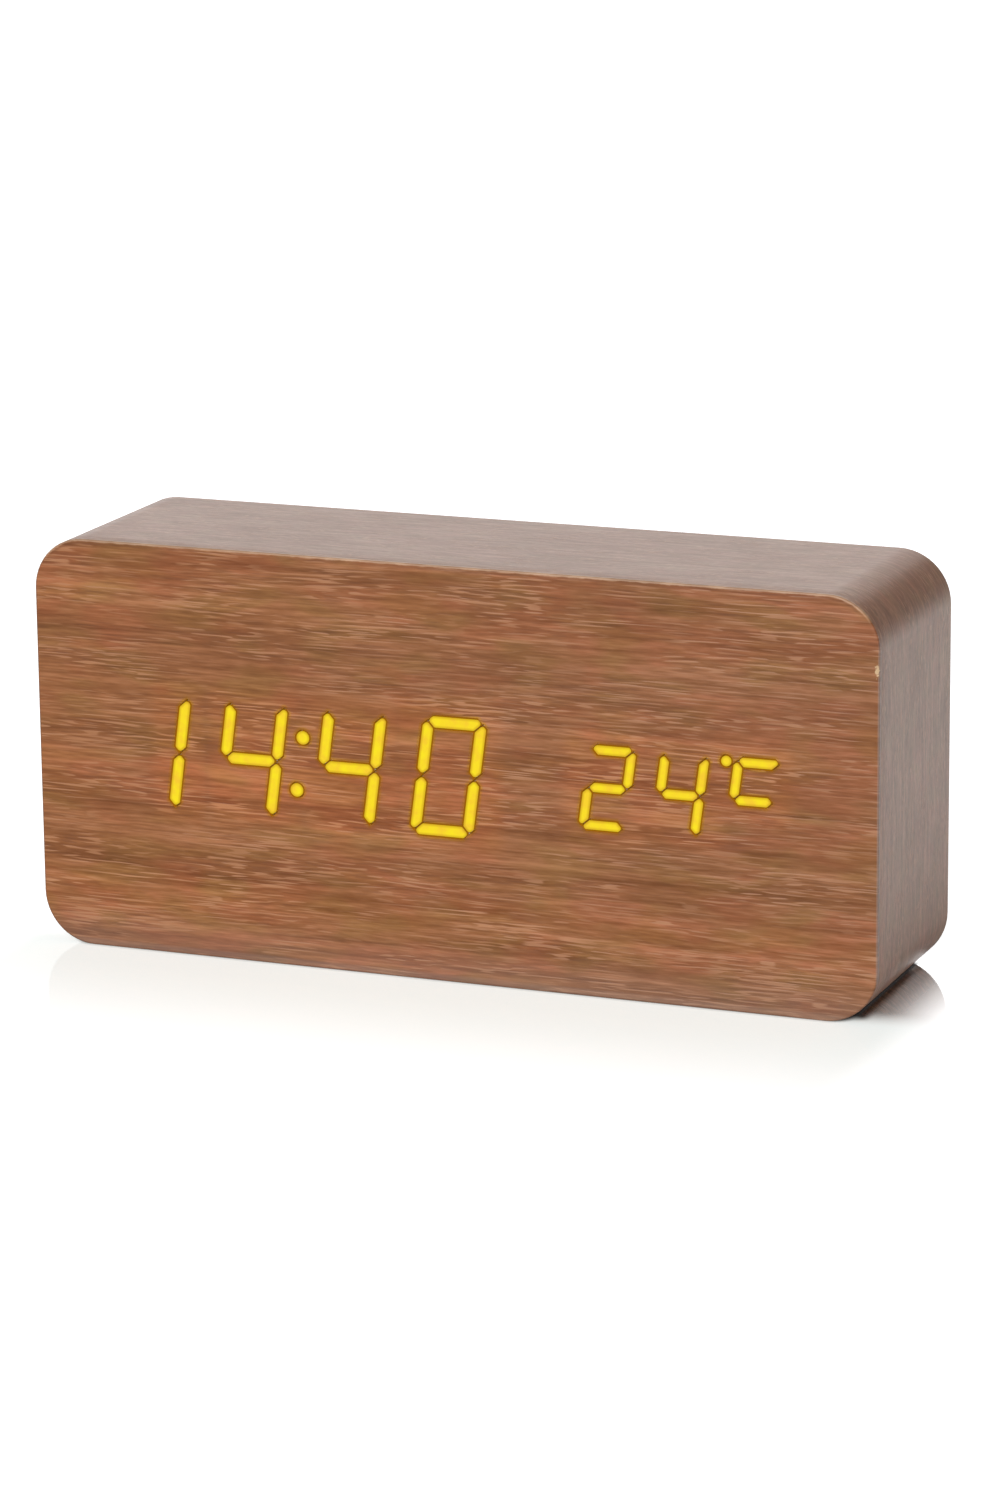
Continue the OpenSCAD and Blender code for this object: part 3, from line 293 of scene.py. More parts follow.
# How far the grain sways, and how strongly its parts show
SWAY_MM = 1.6
FINE_SHARE = 0.6
RED_AREA_SHARE = 1.2
# Strength of the painted shade of the pores, together with the grain's own dark lines
SHADE_AND_LINE_SHARE = 0.3
FLECK_SHARE = 0.72


def film_grain(graph, along, across, seed, length=1.0, bands=0.78, contrast=0.88):
    """The film's colour, its flecks and its tone. along and across the grain are in millimetres."""

    def field(streak, number, detail=2.0):
        """Streaks of one kind. Each number gives others."""
        run, height = streak
        far = graph.times(along, 1 / (run * length))
        return graph.noise(graph.point(far, graph.times(across, 1 / height), seed + number), detail)

    # All the streaks after this one follow its sway
    across = graph.add(across, graph.times(graph.add(field(SWAY, 0), -0.5), SWAY_MM))
    tone = graph.add(graph.times(field(BROAD, 1), bands), field(STREAK, 2))
    tone = graph.add(tone, graph.times(field(FINE, 3), FINE_SHARE))
    tone = graph.add(tone, -(bands + 1 + FINE_SHARE) / 2)
    tone = graph.add(graph.times(tone, contrast), 0.5)
    colour = graph.ramp(tone, [(0.22, FILM_DARK), (0.5, FILM_MID), (0.78, FILM_LIGHT)])
    area = graph.times(graph.add(field(RED_AREA, 10, 1.0), -0.5), RED_AREA_SHARE)
    red = graph.add(field(RED_PATCH, 4, 1.0), area)
    colour = graph.tinted(graph.span(red, 0.42, 0.66), colour, TINT_RED)
    colour = graph.tinted(graph.span(field(OLIVE_PATCH, 7, 1.0), 0.46, 0.64), colour, TINT_OLIVE)

    def dashes(streak, number, group):
        """Pale dashes, and dark dashes of painted shade beside the embossed pores, from the high and low
        places of one field.
        """
        stroke = field(streak, number, 0.0)
        here = graph.span(field(DASH_GROUP, group), 0.4, 0.64)
        pale = graph.times(graph.span(stroke, 0.57, 0.68), here)
        return pale, graph.times(graph.fade(stroke, 0.32, 0.42), here)

    short_pale, short_pore_shade = dashes(SHORT_DASH, 6, 5)
    long_pale, long_pore_shade = dashes(LONG_DASH, 11, 12)
    fleck = graph.larger(short_pale, long_pale)
    line = graph.span(field(DARK_LINE, 8, 1.0), 0.58, 0.7)
    line = graph.times(line, graph.span(field(LINE_GROUP, 9), 0.45, 0.62))
    # Painted shade of the embossed pores, together with the grain's own dark lines
    dark = graph.larger(graph.larger(short_pore_shade, long_pore_shade), line)
    colour = graph.mix(graph.times(dark, SHADE_AND_LINE_SHARE), colour, FILM_LINE)
    colour = graph.mix(graph.times(fleck, FLECK_SHARE), colour, FILM_FLECK)
    return colour, fleck, tone


def inset_from_outline(graph, x, z):
    """How far a point lies inside the case's outline."""
    side = graph.add(graph.absolute(x), -FLAT_HALF)
    level = graph.add(graph.absolute(graph.add(z, -MID_Z)), CORNER_R - HALF_H)
    reach = graph.length(graph.larger(side, 0.0), graph.larger(level, 0.0))
    flat = graph.smaller(graph.larger(side, level), 0.0)
    return graph.less(CORNER_R, graph.add(reach, flat))


# Light in the film: it spreads round the lit shapes, and the film next to them is tinted by it

LIT_AMBER = srgb(150, 96, 8)
CUT_WALL = srgb(118, 74, 10)
CUT_GLOW = 0.8
TINT_GLOW = (1.18, 1.1, 1.0, 1.0)
TINT_HALO = (1.0, 1.04, 0.25, 1.0)
GLOW_REACH = (0.5, 4.5)
HALO_FULL = 0.8


def box_gap(graph, x, z, low, high):
    """How far a point of the front lies outside a box."""
    side = graph.add(graph.absolute(graph.add(x, -(low.x + high.x) / 2)), (low.x - high.x) / 2)
    level = graph.add(graph.absolute(graph.add(z, -(low.z + high.z) / 2)), (low.z - high.z) / 2)
    return graph.length(graph.larger(side, 0.0), graph.larger(level, 0.0))


def lit_glow(graph, x, z):
    """The light that spreads in the film: 1 at the lit shapes, and 0 past the glow's reach."""
    share = 0.0
    for name in LIT_NODES:
        low, high = (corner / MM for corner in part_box(name))
        share = graph.larger(graph.fade(box_gap(graph, x, z, low, high), *GLOW_REACH), share)
    return share


def halo(graph):
    """1 at the edge between a lit shape and the film, falling to 0 at the halo's width."""
    return graph.map("halo")["X"]


# The front's broad changes of colour: from left to right, and in a pale and a deep band with soft ends

TINT_LEFT = (1.0, 0.97, 0.92, 1.0)
TINT_RIGHT = (0.97, 1.0, 1.08, 1.0)
TINT_PALE = (1.16, 1.2, 1.25, 1.0)
TINT_DEEP = (0.92, 0.9, 0.9, 1.0)
FRONT_BANDS = ((9.0, 14.0, TINT_PALE), (50.0, 57.0, TINT_DEEP))
BAND_SOFT = 1.5


def front_tints(graph, colour, x, z):
    """The film's colour with the front's broad changes, and with the light in it."""
    drift = graph.mix(graph.span(x, -HALF_W, HALF_W), TINT_LEFT, TINT_RIGHT)
    colour = graph.tinted(1.0, colour, drift)
    for low, high, tint in FRONT_BANDS:
        rise, fall = ((end - BAND_SOFT, end + BAND_SOFT) for end in (low, high))
        colour = graph.tinted(graph.between(z, rise, fall), colour, tint)
    colour = graph.tinted(lit_glow(graph, x, z), colour, TINT_GLOW)
    return graph.tinted(graph.span(halo(graph), 0.0, HALO_FULL), colour, TINT_HALO)


# Wear of the front, and light and shade painted on it. Pairs are the start and the stop of a smooth change.
# Shares are strengths, and so is the third number of the painted bounce light

# Painted bounce light from the floor, in a narrow and a broad band above the base
BOUNCE_LOW = (0.8, 2.0, 0.26)
BOUNCE_HIGH = (1.5, 8.0, 0.13)
RIM_W = (0.2, 0.44)
RIM_DEPTH = (0.5, 0.8)
RIM_RAGGED = 0.5
RIM_UPPER = (CASE_HIGH.z - CORNER_R / 2, CASE_HIGH.z - CORNER_R / 5)
RIM_PATCH = (0.4, 0.66)
RIM_SHARES = (0.4, 0.75)
# Painted shade: a dark line just inside the pale upper rim
UNDER_RIM_SHADE = ((0.4, 0.55), (0.6, 0.95))
UNDER_SHADE_SHARE = 0.35
# Painted shade on the rim: full from the left up to the first place, none past the second
EDGE_SHADE_X = (HALF_W - 2 * CORNER_R, HALF_W - CORNER_R)
EDGE_SHADE_SHARE = 0.45
# Painted sheen on the front's right edge
SHEEN_X = (HALF_W - 0.4, HALF_W - 0.1)
SHEEN_Z = (60.0, 68.0)
SHEEN_SHARE = 0.5
CHIP_X = HALF_W - 0.45
CHIP_Z = 59.2
CHIP_SLIM = 0.3
CHIP_R = (0.72, 0.86)
CHIP_SHARE = 0.8


def front_wear_and_painted_light(graph, colour, x, z, inset, depth):
    """Painted bounce light near the base, a ragged rim that is pale above with painted shade on it and under
    its pale part, a painted sheen greying the edge on the right, and a chip there.
    """
    ragged = graph.blotches((x, z), (0.6, 0.6), 3.0, 8.0)
    patch = graph.blotches((x, z), (0.14, 0.14), 3.0, 4.0)
    edge = graph.add(inset, graph.times(graph.add(ragged, -0.5), RIM_RAGGED))
    upper = graph.span(z, *RIM_UPPER)
    rim = graph.times(graph.fade(edge, *RIM_W), graph.fade(depth, *RIM_DEPTH))
    # Painted bounce light from the floor, paler towards the base
    pale_haze = graph.larger(graph.fade(z, *BOUNCE_LOW), graph.fade(z, *BOUNCE_HIGH))
    colour = graph.mix(pale_haze, colour, FILM_BOUNCE_LIGHT)
    # Painted shade: a dark line just inside the pale upper rim
    under = graph.times(graph.between(edge, *UNDER_RIM_SHADE), graph.times(upper, UNDER_SHADE_SHARE))
    colour = graph.mix(under, colour, FILM_LINE)
    # Painted shade along the rim, except on the right
    colour = graph.mix(graph.times(rim, graph.fade(x, *EDGE_SHADE_X, EDGE_SHADE_SHARE)), colour, FILM_EDGE_SHADE)
    # Painted sheen greying the front's right edge
    side = graph.times(graph.span(x, *SHEEN_X, 0.0, SHEEN_SHARE), graph.fade(z, *SHEEN_Z))
    colour = graph.mix(side, colour, FILM_SHEEN_GREY)
    pale = graph.times(upper, graph.span(patch, *RIM_PATCH, *RIM_SHARES))
    colour = graph.mix(graph.times(rim, pale), colour, FILM_RIM)
    grit = graph.blotches((x, z), (1.7, 1.7), 3.0, 2.0)
    off_chip = graph.length(graph.add(x, -CHIP_X), graph.times(graph.add(z, -CHIP_Z), CHIP_SLIM))
    chip = graph.fade(graph.add(off_chip, grit), *CHIP_R)
    return graph.mix(graph.times(chip, CHIP_SHARE), colour, FILM_CHIP)


def front_wood():
    """Film over the front sheet. Its outer edge is worn and chipped, with painted shade and sheen on it,
    painted bounce light lies along its base, and its cut-outs glow amber inside.
    """
    graph = Graph("front_wood")
    x, y, z = graph.place()
    colour, fleck, tone = film_grain(graph, x, z, 3.0)
    colour = front_tints(graph, colour, x, z)
    inset = inset_from_outline(graph, x, z)
    depth = graph.add(y, -FRONT_Y)
    colour = front_wear_and_painted_light(graph, colour, x, z, inset, depth)
    cut = graph.times(graph.span(inset, 1.0, 2.0), graph.span(depth, 0.02, 0.06))
    colour = graph.mix(cut, colour, CUT_WALL)
    roughness = graph.add(graph.times(tone, -0.12), 0.42)
    height = graph.add(graph.times(tone, 0.35), fleck)
    return graph.surface(
        colour, roughness, height, 0.02, IOR=FILM_IOR,
        Emission_Color=LIT_AMBER, Emission_Strength=graph.times(cut, CUT_GLOW),
    )


# The case's film: its grain, its evener top and its sides greyed by a painted sheen, the bare board inside
# it, and its seam
CASE_GRAIN = {"seed": 40.0, "length": 0.3, "bands": 0.5, "contrast": 1.0}
TOP_Z = (CASE_HIGH.z - CORNER_R, CASE_HIGH.z)
TOP_SHARE = 0.5
SIDE_SHEEN_SHARE = 0.12
BARE_INSET = (0.6, 1.0)
BARE_Y = (REAR_Y - 0.6, REAR_Y - 0.3)
SEAM_X = (0.06, 0.16)
SEAM_Z = (0.2, 0.4)
HANDLED_Y = (PANEL_BACK, PANEL_BACK + 3.5)
HANDLED_SHARE = 0.05


def case_wood():
    """Film wrapped round the case. Its grain runs round the outline, and the wrap meets under the base."""
    graph = Graph("case_wood")
    round_case, along_y = graph.map("film")[:2]
    x, y, z = graph.place()
    colour, fleck, tone = film_grain(graph, round_case, along_y, **CASE_GRAIN)
    colour = graph.mix(graph.span(z, *TOP_Z, 0.0, TOP_SHARE), colour, FILM_MID)
    # Painted sheen greying the case's sides and underside
    colour = graph.mix(graph.fade(z, *TOP_Z, SIDE_SHEEN_SHARE), colour, FILM_SHEEN_GREY)
    hollow = graph.span(inset_from_outline(graph, x, z), *BARE_INSET)
    board = graph.ramp(graph.blotches((x, y, z), (3.0, 3.0, 3.0), 3.0), BARE_BOARD)
    colour = graph.mix(graph.times(hollow, graph.fade(y, *BARE_Y)), colour, board)
    seam = graph.times(graph.fade(graph.absolute(x), *SEAM_X), graph.fade(z, *SEAM_Z))
    colour = graph.mix(seam, colour, FILM_SEAM)
    handled = graph.fade(y, *HANDLED_Y, HANDLED_SHARE)
    roughness = graph.add(graph.add(graph.times(tone, -0.1), 0.38), handled)
    height = graph.add(graph.times(tone, 0.3), fleck)
    return graph.surface(
        colour, roughness, height, 0.015, IOR=FILM_IOR, Coat_Weight=0.06, Coat_Roughness=0.3, Coat_IOR=1.5
    )


# A face lies across an axis where its normal's part along it is over LEVEL, and is a wall under STEEP
LEVEL = 0.999
STEEP = 0.5


def wrap_film(mesh):
    """A map named film: the way round the outline from the middle of the top, and depth."""
    layer = mesh.uv_layers.new(name="film")
    straight_x, straight_z = FLAT_HALF, HALF_H - CORNER_R
    half_round = 2 * (straight_x + CORNER_R * math.pi / 2 + straight_z)

    def round_outline(x, z):
        side, level = abs(x) - straight_x, abs(z) - straight_z
        turn = CORNER_R * math.atan2(max(side, 0.0), max(level, 0.0)) if max(side, level) > 0 else 0.0
        run = min(abs(x), straight_x) + turn + straight_z - min(abs(z), straight_z)
        return half_round - run if z < 0 else run

    for face in mesh.polygons:
        middle = face.center / MM
        sign = 1 if middle.x >= 0 else -1
        for loop in face.loop_indices:
            at = mesh.vertices[mesh.loops[loop].vertex_index].co / MM
            if abs(face.normal.y) > STEEP:
                layer.data[loop].uv = (at.x, at.z)
            elif abs(face.normal.z) > LEVEL and middle.z > MID_Z:
                layer.data[loop].uv = (at.x, at.y)
            else:
                layer.data[loop].uv = (sign * round_outline(at.x, at.z - MID_Z), at.y)


# Display

LIT_BODY = srgb(8, 7, 2)
LIT_FRINGE = srgb(176, 122, 20)
LIT_FACE = [(0.3, srgb(248, 203, 48)), (0.5, srgb(250, 219, 38)), (0.7, srgb(252, 229, 32))]
FRINGE_SHARE = 0.5


def lit_yellow():
    """Lit segments: bright on the front, deeper at its edges, and amber where they go into the sheet."""
    graph = Graph("lit_yellow")
    x, y, z = graph.place()
    mottle = graph.blotches((x, z), (0.5, 0.5), 3.0, 2.0)
    fringe = graph.span(halo(graph), 0.0, 1.0, 0.0, FRINGE_SHARE)
    face = graph.mix(fringe, graph.ramp(mottle, LIT_FACE), LIT_FRINGE)
    front = graph.fade(y, FRONT_Y + 0.01, FRONT_Y + 0.05)
    return graph.surface(
        LIT_BODY, graph.add(graph.times(mottle, 0.2), 0.4), Specular_IOR_Level=0.1,
        Emission_Color=graph.mix(front, LIT_AMBER, face), Emission_Strength=1.0,
    )


def mask_film():
    """Black film behind the front sheet, with the segments' light leaking over it."""
    graph = Graph("black_film")
    x, y, z = graph.place()
    cloud = graph.blotches((x, z), (0.6, 0.6), 3.0, 5.0)
    tint = graph.mix(cloud, srgb(14, 13, 12), srgb(26, 24, 22))
    leak = graph.mix(cloud, srgb(112, 70, 4), srgb(140, 90, 8))
    front = graph.fade(y, PANEL_BACK + 0.02, PANEL_BACK + 0.06)
    return graph.surface(
        tint, graph.add(graph.times(cloud, 0.2), 0.7), cloud, 0.006, Specular_IOR_Level=0.05,
        Emission_Color=leak, Emission_Strength=front,
    )


def film(name, colour, other, roughness):
    """Thin film: slightly uneven, with faint rolled lines."""
    graph = Graph(name)
    x, y, z = graph.place()
    lines = graph.blotches((x, y, z), (0.08, 4.0, 1.6), 2.0)
    cloud = graph.blotches((x, z), (0.2, 0.2), 3.0, 5.0)
    tint = graph.mix(graph.add(graph.times(lines, 0.5), graph.times(cloud, 0.5)), colour, other)
    return graph.surface(tint, graph.add(graph.times(cloud, 0.2), roughness), lines, 0.006)


def light_chip():
    """White ceramic chip with yellow resin on its face."""
    graph = Graph("light_chip")
    x, y, z = graph.place()
    grain = graph.blotches((x, y, z), (4.0, 4.0, 4.0), 2.0)
    face = graph.fade(y, CHIP_FRONT + 0.02, CHIP_FRONT + 0.05)
    resin = graph.times(face, graph.span(grain, 0.3, 0.5))
    tint = graph.mix(resin, srgb(232, 230, 222), srgb(240, 206, 84))
    return graph.surface(tint, graph.add(graph.times(grain, 0.2), 0.25), grain, 0.01)


def circuit_board():
    """Green solder mask over copper tracks, with tinned pads and their holes."""
    graph = Graph("circuit_board")
    x, y, z = graph.place()
    track_at = graph.point(graph.times(x, 0.42), graph.times(z, 0.42), 1.0)
    copper = graph.fade(graph.cells(track_at, "DISTANCE_TO_EDGE", 0.35), 0.05, 0.09)
    spots = graph.cells(graph.point(graph.times(x, 0.3), graph.times(z, 0.3), 7.0))
    pad = graph.fade(spots, 0.07, 0.1)
    hole = graph.fade(spots, 0.03, 0.045)
    weave = graph.blotches((x, z, y), (2.0, 2.0, 2.0), 2.0)
    mask = graph.ramp(weave, [(0.3, srgb(14, 66, 34)), (0.7, srgb(24, 86, 46))])
    tint = graph.mix(graph.times(copper, 0.7), mask, srgb(46, 122, 66))
    tint = graph.mix(pad, tint, srgb(198, 196, 188))
    tint = graph.mix(hole, tint, srgb(24, 26, 22))
    height = graph.add(copper, graph.times(pad, 0.6))
    roughness = graph.add(graph.times(weave, 0.2), 0.22)
    return graph.surface(tint, roughness, height, 0.03, Metallic=graph.times(pad, 0.9))


# Plastics, metals, cells and wires

# Colour, paler colour, roughness, and the size of the texture where it isn't the usual one
PLASTICS = {
    "white_plastic": (srgb(216, 215, 210), srgb(236, 235, 231), 0.42),
    "chip_black": (srgb(20, 20, 22), srgb(44, 44, 46), 0.5, 0.3),
    "ivory_plastic": (srgb(206, 196, 168), srgb(228, 220, 198), 0.4),
    "cover_plastic": (srgb(22, 22, 23), srgb(46, 46, 47), 0.48),
    "door_plastic": (srgb(23, 23, 24), srgb(48, 48, 49), 0.46),
}

# Colour, paler colour, roughness, and how far the lines of the finish run along each axis
METALS = {
    "can_metal": (srgb(168, 168, 166), srgb(204, 203, 200), 0.34, (4.0, 0.25, 0.25)),
    "screw_steel": (srgb(150, 150, 150), srgb(196, 195, 192), 0.36, (0.3, 0.3, 0.3)),
    "screw_black": (srgb(26, 26, 28), srgb(58, 57, 56), 0.42, (0.3, 0.3, 0.3)),
    "contact_metal": (srgb(176, 174, 166), srgb(214, 212, 204), 0.3, (0.3, 3.0, 0.3)),
}

LEADS = {
    "lead_red": (srgb(150, 22, 20), srgb(182, 38, 32)),
    "lead_black": (srgb(18, 18, 19), srgb(38, 38, 40)),
}


def plastic(name, colour, paler, roughness, texture_mm=0.45):
    """Moulded plastic with a fine spark-eroded texture and a few polished, dusty and scratched places."""
    graph = Graph(name)
    x, y, z = graph.place()

    def field(size, seed, detail):
        at_x, at_y, at_z = (graph.times(axis, 1 / size) for axis in (x, y, z))
        return graph.noise(graph.point(at_x, graph.add(at_y, seed), at_z), detail)

    texture = field(texture_mm, 0.0, 2.0)
    worn = field(9.0, 20.0, 3.0)
    hair = graph.blotches((x, y, z), (0.05, 0.4, 2.2), 1.0)
    scratch = graph.span(hair, 0.7, 0.76, 0.0, 0.25)
    shade = graph.add(graph.times(texture, 0.35), graph.span(worn, 0.4, 0.75, 0.0, 0.4))
    tint = graph.mix(graph.add(shade, scratch), colour, paler)
    gloss = graph.add(graph.times(worn, -0.2), graph.add(graph.times(texture, 0.12), roughness + 0.04))
    return graph.surface(tint, gloss, texture, 0.012, IOR=1.49)


def button_plastic():
    """The buttons' plastic, with pale paint in the marks that are cut in their caps."""
    material = plastic("button_plastic", srgb(34, 34, 36), srgb(62, 62, 64), 0.42, 0.35)
    graph = Graph.of(material)
    x, y, z = graph.place()
    facing = graph.node("SeparateXYZ", {0: graph.node("TexCoord").outputs["Normal"]}).outputs["Y"]
    off_floor = graph.absolute(graph.add(y, MARK_DEPTH - BUTTON_TOP))
    mark = graph.times(graph.fade(off_floor, 0.03, 0.05), graph.span(facing, 0.8, 0.9))
    chipped = graph.blotches((x, z), (2.5, 2.5), 3.0, 3.0)
    graph.over(mark, graph.mix(chipped, srgb(196, 196, 192), srgb(224, 224, 220)))
    return material


def metal(name, colour, paler, roughness, run_mm):
    """Metal with a drawn or turned finish and a few dull places."""
    graph = Graph(name)
    axes = graph.place()
    lines = graph.blotches(axes, [1 / run for run in run_mm], 3.0)
    dull = graph.blotches(axes, (0.7, 0.7, 0.7), 3.0)
    tint = graph.mix(graph.add(graph.times(lines, 0.6), graph.times(dull, 0.4)), colour, paler)
    gloss = graph.add(graph.times(dull, 0.25), graph.add(graph.times(lines, 0.1), roughness - 0.12))
    return graph.surface(tint, gloss, lines, 0.004, Metallic=1.0)


# Print of a cell's sleeve: places along the cell from its middle towards its nub
SLEEVE_BAND = (12.0, 12.3)
SLEEVE_LINE = ((11.0, 11.2), (11.5, 11.7))
PLUS_AT = 17.0
MINUS_AT = -18.0
SIGN_LONG, SIGN_THIN = 1.2, 0.28
SIGN_SOFT = 0.08


def cell_sleeve():
    """Printed sleeve of a cell: dark body, pale band at the nub end, and polarity marks facing the door."""
    graph = Graph("cell_sleeve")
    x, y, z = graph.place()
    middle = (CELL_LOW + CELL_HIGH) / 2
    cell_d = CELL_HIGH.y - CELL_LOW.y
    pitch = (CELL_HIGH.z - CELL_LOW.z - cell_d) / 2
    level = graph.add(z, -middle.z)
    row = graph.math("ROUND", graph.times(level, 1 / pitch))
    off_axis = graph.absolute(graph.less(level, graph.times(row, pitch)))
    turned = graph.span(graph.absolute(row), 0.4, 0.6, 1.0, -1.0)
    to_nub = graph.times(graph.add(x, -middle.x), turned)

    def bar(at, half_l, half_w):
        long = graph.fade(graph.absolute(graph.add(to_nub, -at)), half_l, half_l + SIGN_SOFT)
        return graph.times(long, graph.fade(off_axis, half_w, half_w + SIGN_SOFT))

    outward = graph.span(y, middle.y, middle.y + 0.5)
    plus = graph.larger(bar(PLUS_AT, SIGN_LONG, SIGN_THIN), bar(PLUS_AT, SIGN_THIN, SIGN_LONG))
    minus = bar(MINUS_AT, SIGN_THIN, SIGN_LONG)
    pale = graph.larger(graph.span(to_nub, *SLEEVE_BAND), graph.between(to_nub, *SLEEVE_LINE))
    scuff = graph.blotches((x, y, z), (0.25, 1.5, 1.5), 4.0)
    tint = graph.ramp(scuff, [(0.3, srgb(24, 58, 70)), (0.7, srgb(36, 76, 88))])
    tint = graph.mix(pale, tint, srgb(186, 190, 192))
    tint = graph.mix(graph.times(plus, outward), tint, srgb(30, 40, 46))
    tint = graph.mix(graph.times(minus, outward), tint, srgb(206, 210, 210))
    return graph.surface(tint, graph.add(graph.times(scuff, 0.3), 0.18), scuff, 0.01)


RIBBON_PITCH = 1.27
RIBBON_RED = (RIBBON_LEFT + 1.0, RIBBON_LEFT + 1.2)


def ribbon_grey():
    """Grey ribbon cable with a ridge for each core and one red edge."""
    graph = Graph("ribbon_grey")
    x, y, z = graph.place()
    core = graph.math("SINE", graph.times(x, 2 * math.pi / RIBBON_PITCH))
    pale_haze = graph.blotches((x, y, z), (1.0, 0.4, 0.4), 2.0)
    shade = graph.add(graph.times(pale_haze, 0.5), graph.times(core, 0.15))
    tint = graph.mix(shade, srgb(128, 128, 130), srgb(168, 168, 170))
    tint = graph.mix(graph.fade(x, *RIBBON_RED), tint, srgb(150, 32, 30))
    return graph.surface(tint, graph.add(graph.times(pale_haze, 0.2), 0.4), core, 0.12)


def lead(name, colour, paler):
    """Soft wire insulation, slightly uneven along its run."""
    graph = Graph(name)
    rings = graph.blotches(graph.place(), (1.2, 1.2, 1.2), 3.0)
    tint = graph.mix(rings, colour, paler)
    return graph.surface(tint, graph.add(graph.times(rings, 0.2), 0.32), rings, 0.02)


def make_materials():
    """One material for each slot of the record."""
    made = {
        "case_wood": case_wood(),
        "front_wood": front_wood(),
        "lit_yellow": lit_yellow(),
        "black_film": mask_film(),
        "white_film": film("white_film", srgb(214, 214, 208), srgb(232, 232, 228), 0.5),
        "circuit_board": circuit_board(),
        "light_chip": light_chip(),
        "ribbon_grey": ribbon_grey(),
        "button_plastic": button_plastic(),
        "cell_sleeve": cell_sleeve(),
    }
    for make, looks in ((plastic, PLASTICS), (metal, METALS), (lead, LEADS)):
        made.update({name: make(name, *look) for name, look in looks.items()})
    return made


# Which edges are eased

SAME_PLACE = 0.01
OUTLINE_SLACK = 0.05


def at_depth(depth):
    """Picks the places on the plane across Y at that depth."""
    return lambda at: abs(at.y - depth) < SAME_PLACE


def on_outline(depth):
    """Picks the places on the case's outer outline at that depth."""

    def wanted(at):
        side = max(abs(at.x) - FLAT_HALF, 0)
        level = max(abs(at.z - MID_Z) - (HALF_H - CORNER_R), 0)
        return at_depth(depth)(at) and math.hypot(side, level) > CORNER_R - OUTLINE_SLACK

    return wanted


def near_rim(name, depth, share):
    """Picks the places at that depth, past that share of a round piece's radius."""
    low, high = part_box(name)
    middle = (low + high) / 2 / MM
    reach = (high.x - low.x) / 2 / MM * share
    return lambda at: at_depth(depth)(at) and math.hypot(at.x - middle.x, at.z - middle.z) > reach


# The halo: a front face cut finely along the edge of the light, in the plane of x and z.
# It has rings of points, at its width divided by each of HALO_PARTS

HALO_W = 0.6
FRINGE_W = 0.55
HALO_PARTS = (3, 1.5, 1)
HALO_STEP = 0.6
HALO_GRID = 0.08
HALO_CLEAR = 0.95
CUT_EPSILON = 1e-5


def gaps_to_lines(points, starts, ends):
    """The distance from each point to the nearest of the lines."""
    runs = ends - starts
    squares = (runs**2).sum(1)
    gaps = []
    for point in points:
        share = np.clip(((point - starts) * runs).sum(1) / squares, 0, 1)
        gaps.append(np.hypot(*(point - starts - share[:, None] * runs).T).min())
    return np.array(gaps)


def enclosed(point, starts, ends):
    """Whether a point lies inside the outlines that the lines make up."""
    crossed = (starts[:, 1] > point[1]) != (ends[:, 1] > point[1])
    a, b = starts[crossed], ends[crossed]
    at = a[:, 0] + (point[1] - a[:, 1]) / (b[:, 1] - a[:, 1]) * (b[:, 0] - a[:, 0])
    return (at > point[0]).sum() % 2 == 1


def ring_points(starts, ends, width):
    """Points of the front face at a few distances from its walls, the last at width."""
    found = []
    for start, end in zip(starts, ends):
        run = end - start
        length = np.hypot(*run)
        inward = np.array((-run[1], run[0])) / length
        for share in np.linspace(0, 1, max(1, round(length / HALO_STEP)) + 1):
            for reach in (width / part for part in HALO_PARTS):
                found.append((*(start + share * run + inward * reach), reach))
    found = np.array(found)
    clear = gaps_to_lines(found[:, :2], starts, ends) > HALO_CLEAR * found[:, 2]
    return list({tuple(np.round(point[:2] / HALO_GRID)): point[:2] for point in found[clear]}.values())


def front_lines(front):
    """The outlines of the front faces, and those of their lines that a wall starts from."""
    rim, walls = [], []
    for loop in (loop for face in front for loop in face.loops):
        beside = [face for face in loop.edge.link_faces if face.normal.y > -LEVEL]
        if beside:
            rim.append((loop.vert, loop.link_loop_next.vert))
            if abs(beside[0].normal.y) < STEEP:
                walls.append(rim[-1])
    return rim, walls


def flat(vert):
    """A corner's place in the plane of the front."""
    return (vert.co.x / MM, vert.co.z / MM)


def starts_and_ends(lines):
    return tuple(np.array([flat(line[end]) for line in lines]) for end in (0, 1))


def halo_front(shape, width):
    """Cuts the front face anew, with a map named halo: 1 at a wall, and 0 from that width."""
    layer = shape.loops.layers.uv.new("halo")
    shape.normal_update()
    at_front = at_depth(FRONT_Y)
    front = [face for face in shape.faces if face.normal.y < -LEVEL and at_front(face.verts[0].co / MM)]
    rim, walls = front_lines(front)
    rim_ends, wall_ends = starts_and_ends(rim), starts_and_ends(walls)
    corners = list(dict.fromkeys(vert for line in rim for vert in line))
    depth = corners[0].co.y
    points = [Vector(point) for point in [*map(flat, corners), *ring_points(*wall_ends, width)]]
    lines = [(corners.index(start), corners.index(end)) for start, end in rim]
    places, _, parts, sources, _, _ = delaunay_2d_cdt(points, lines, [], 0, CUT_EPSILON)
    bmesh.ops.delete(shape, geom=front, context="FACES")
    verts = []
    for at, source in zip(places, sources):
        known = min(source, default=len(corners))
        made = known >= len(corners)
        verts.append(shape.verts.new((at.x * MM, depth, at.y * MM)) if made else corners[known])
    places = np.array(places)
    near = np.clip(1 - gaps_to_lines(places, *wall_ends) / width, 0, 1)
    for part in parts:
        if enclosed(places[part].mean(0), *rim_ends):
            face = shape.faces.new([verts[i] for i in part])
            for i, loop in zip(part, face.loops):
                loop[layer].uv = (near[i], 0.0)


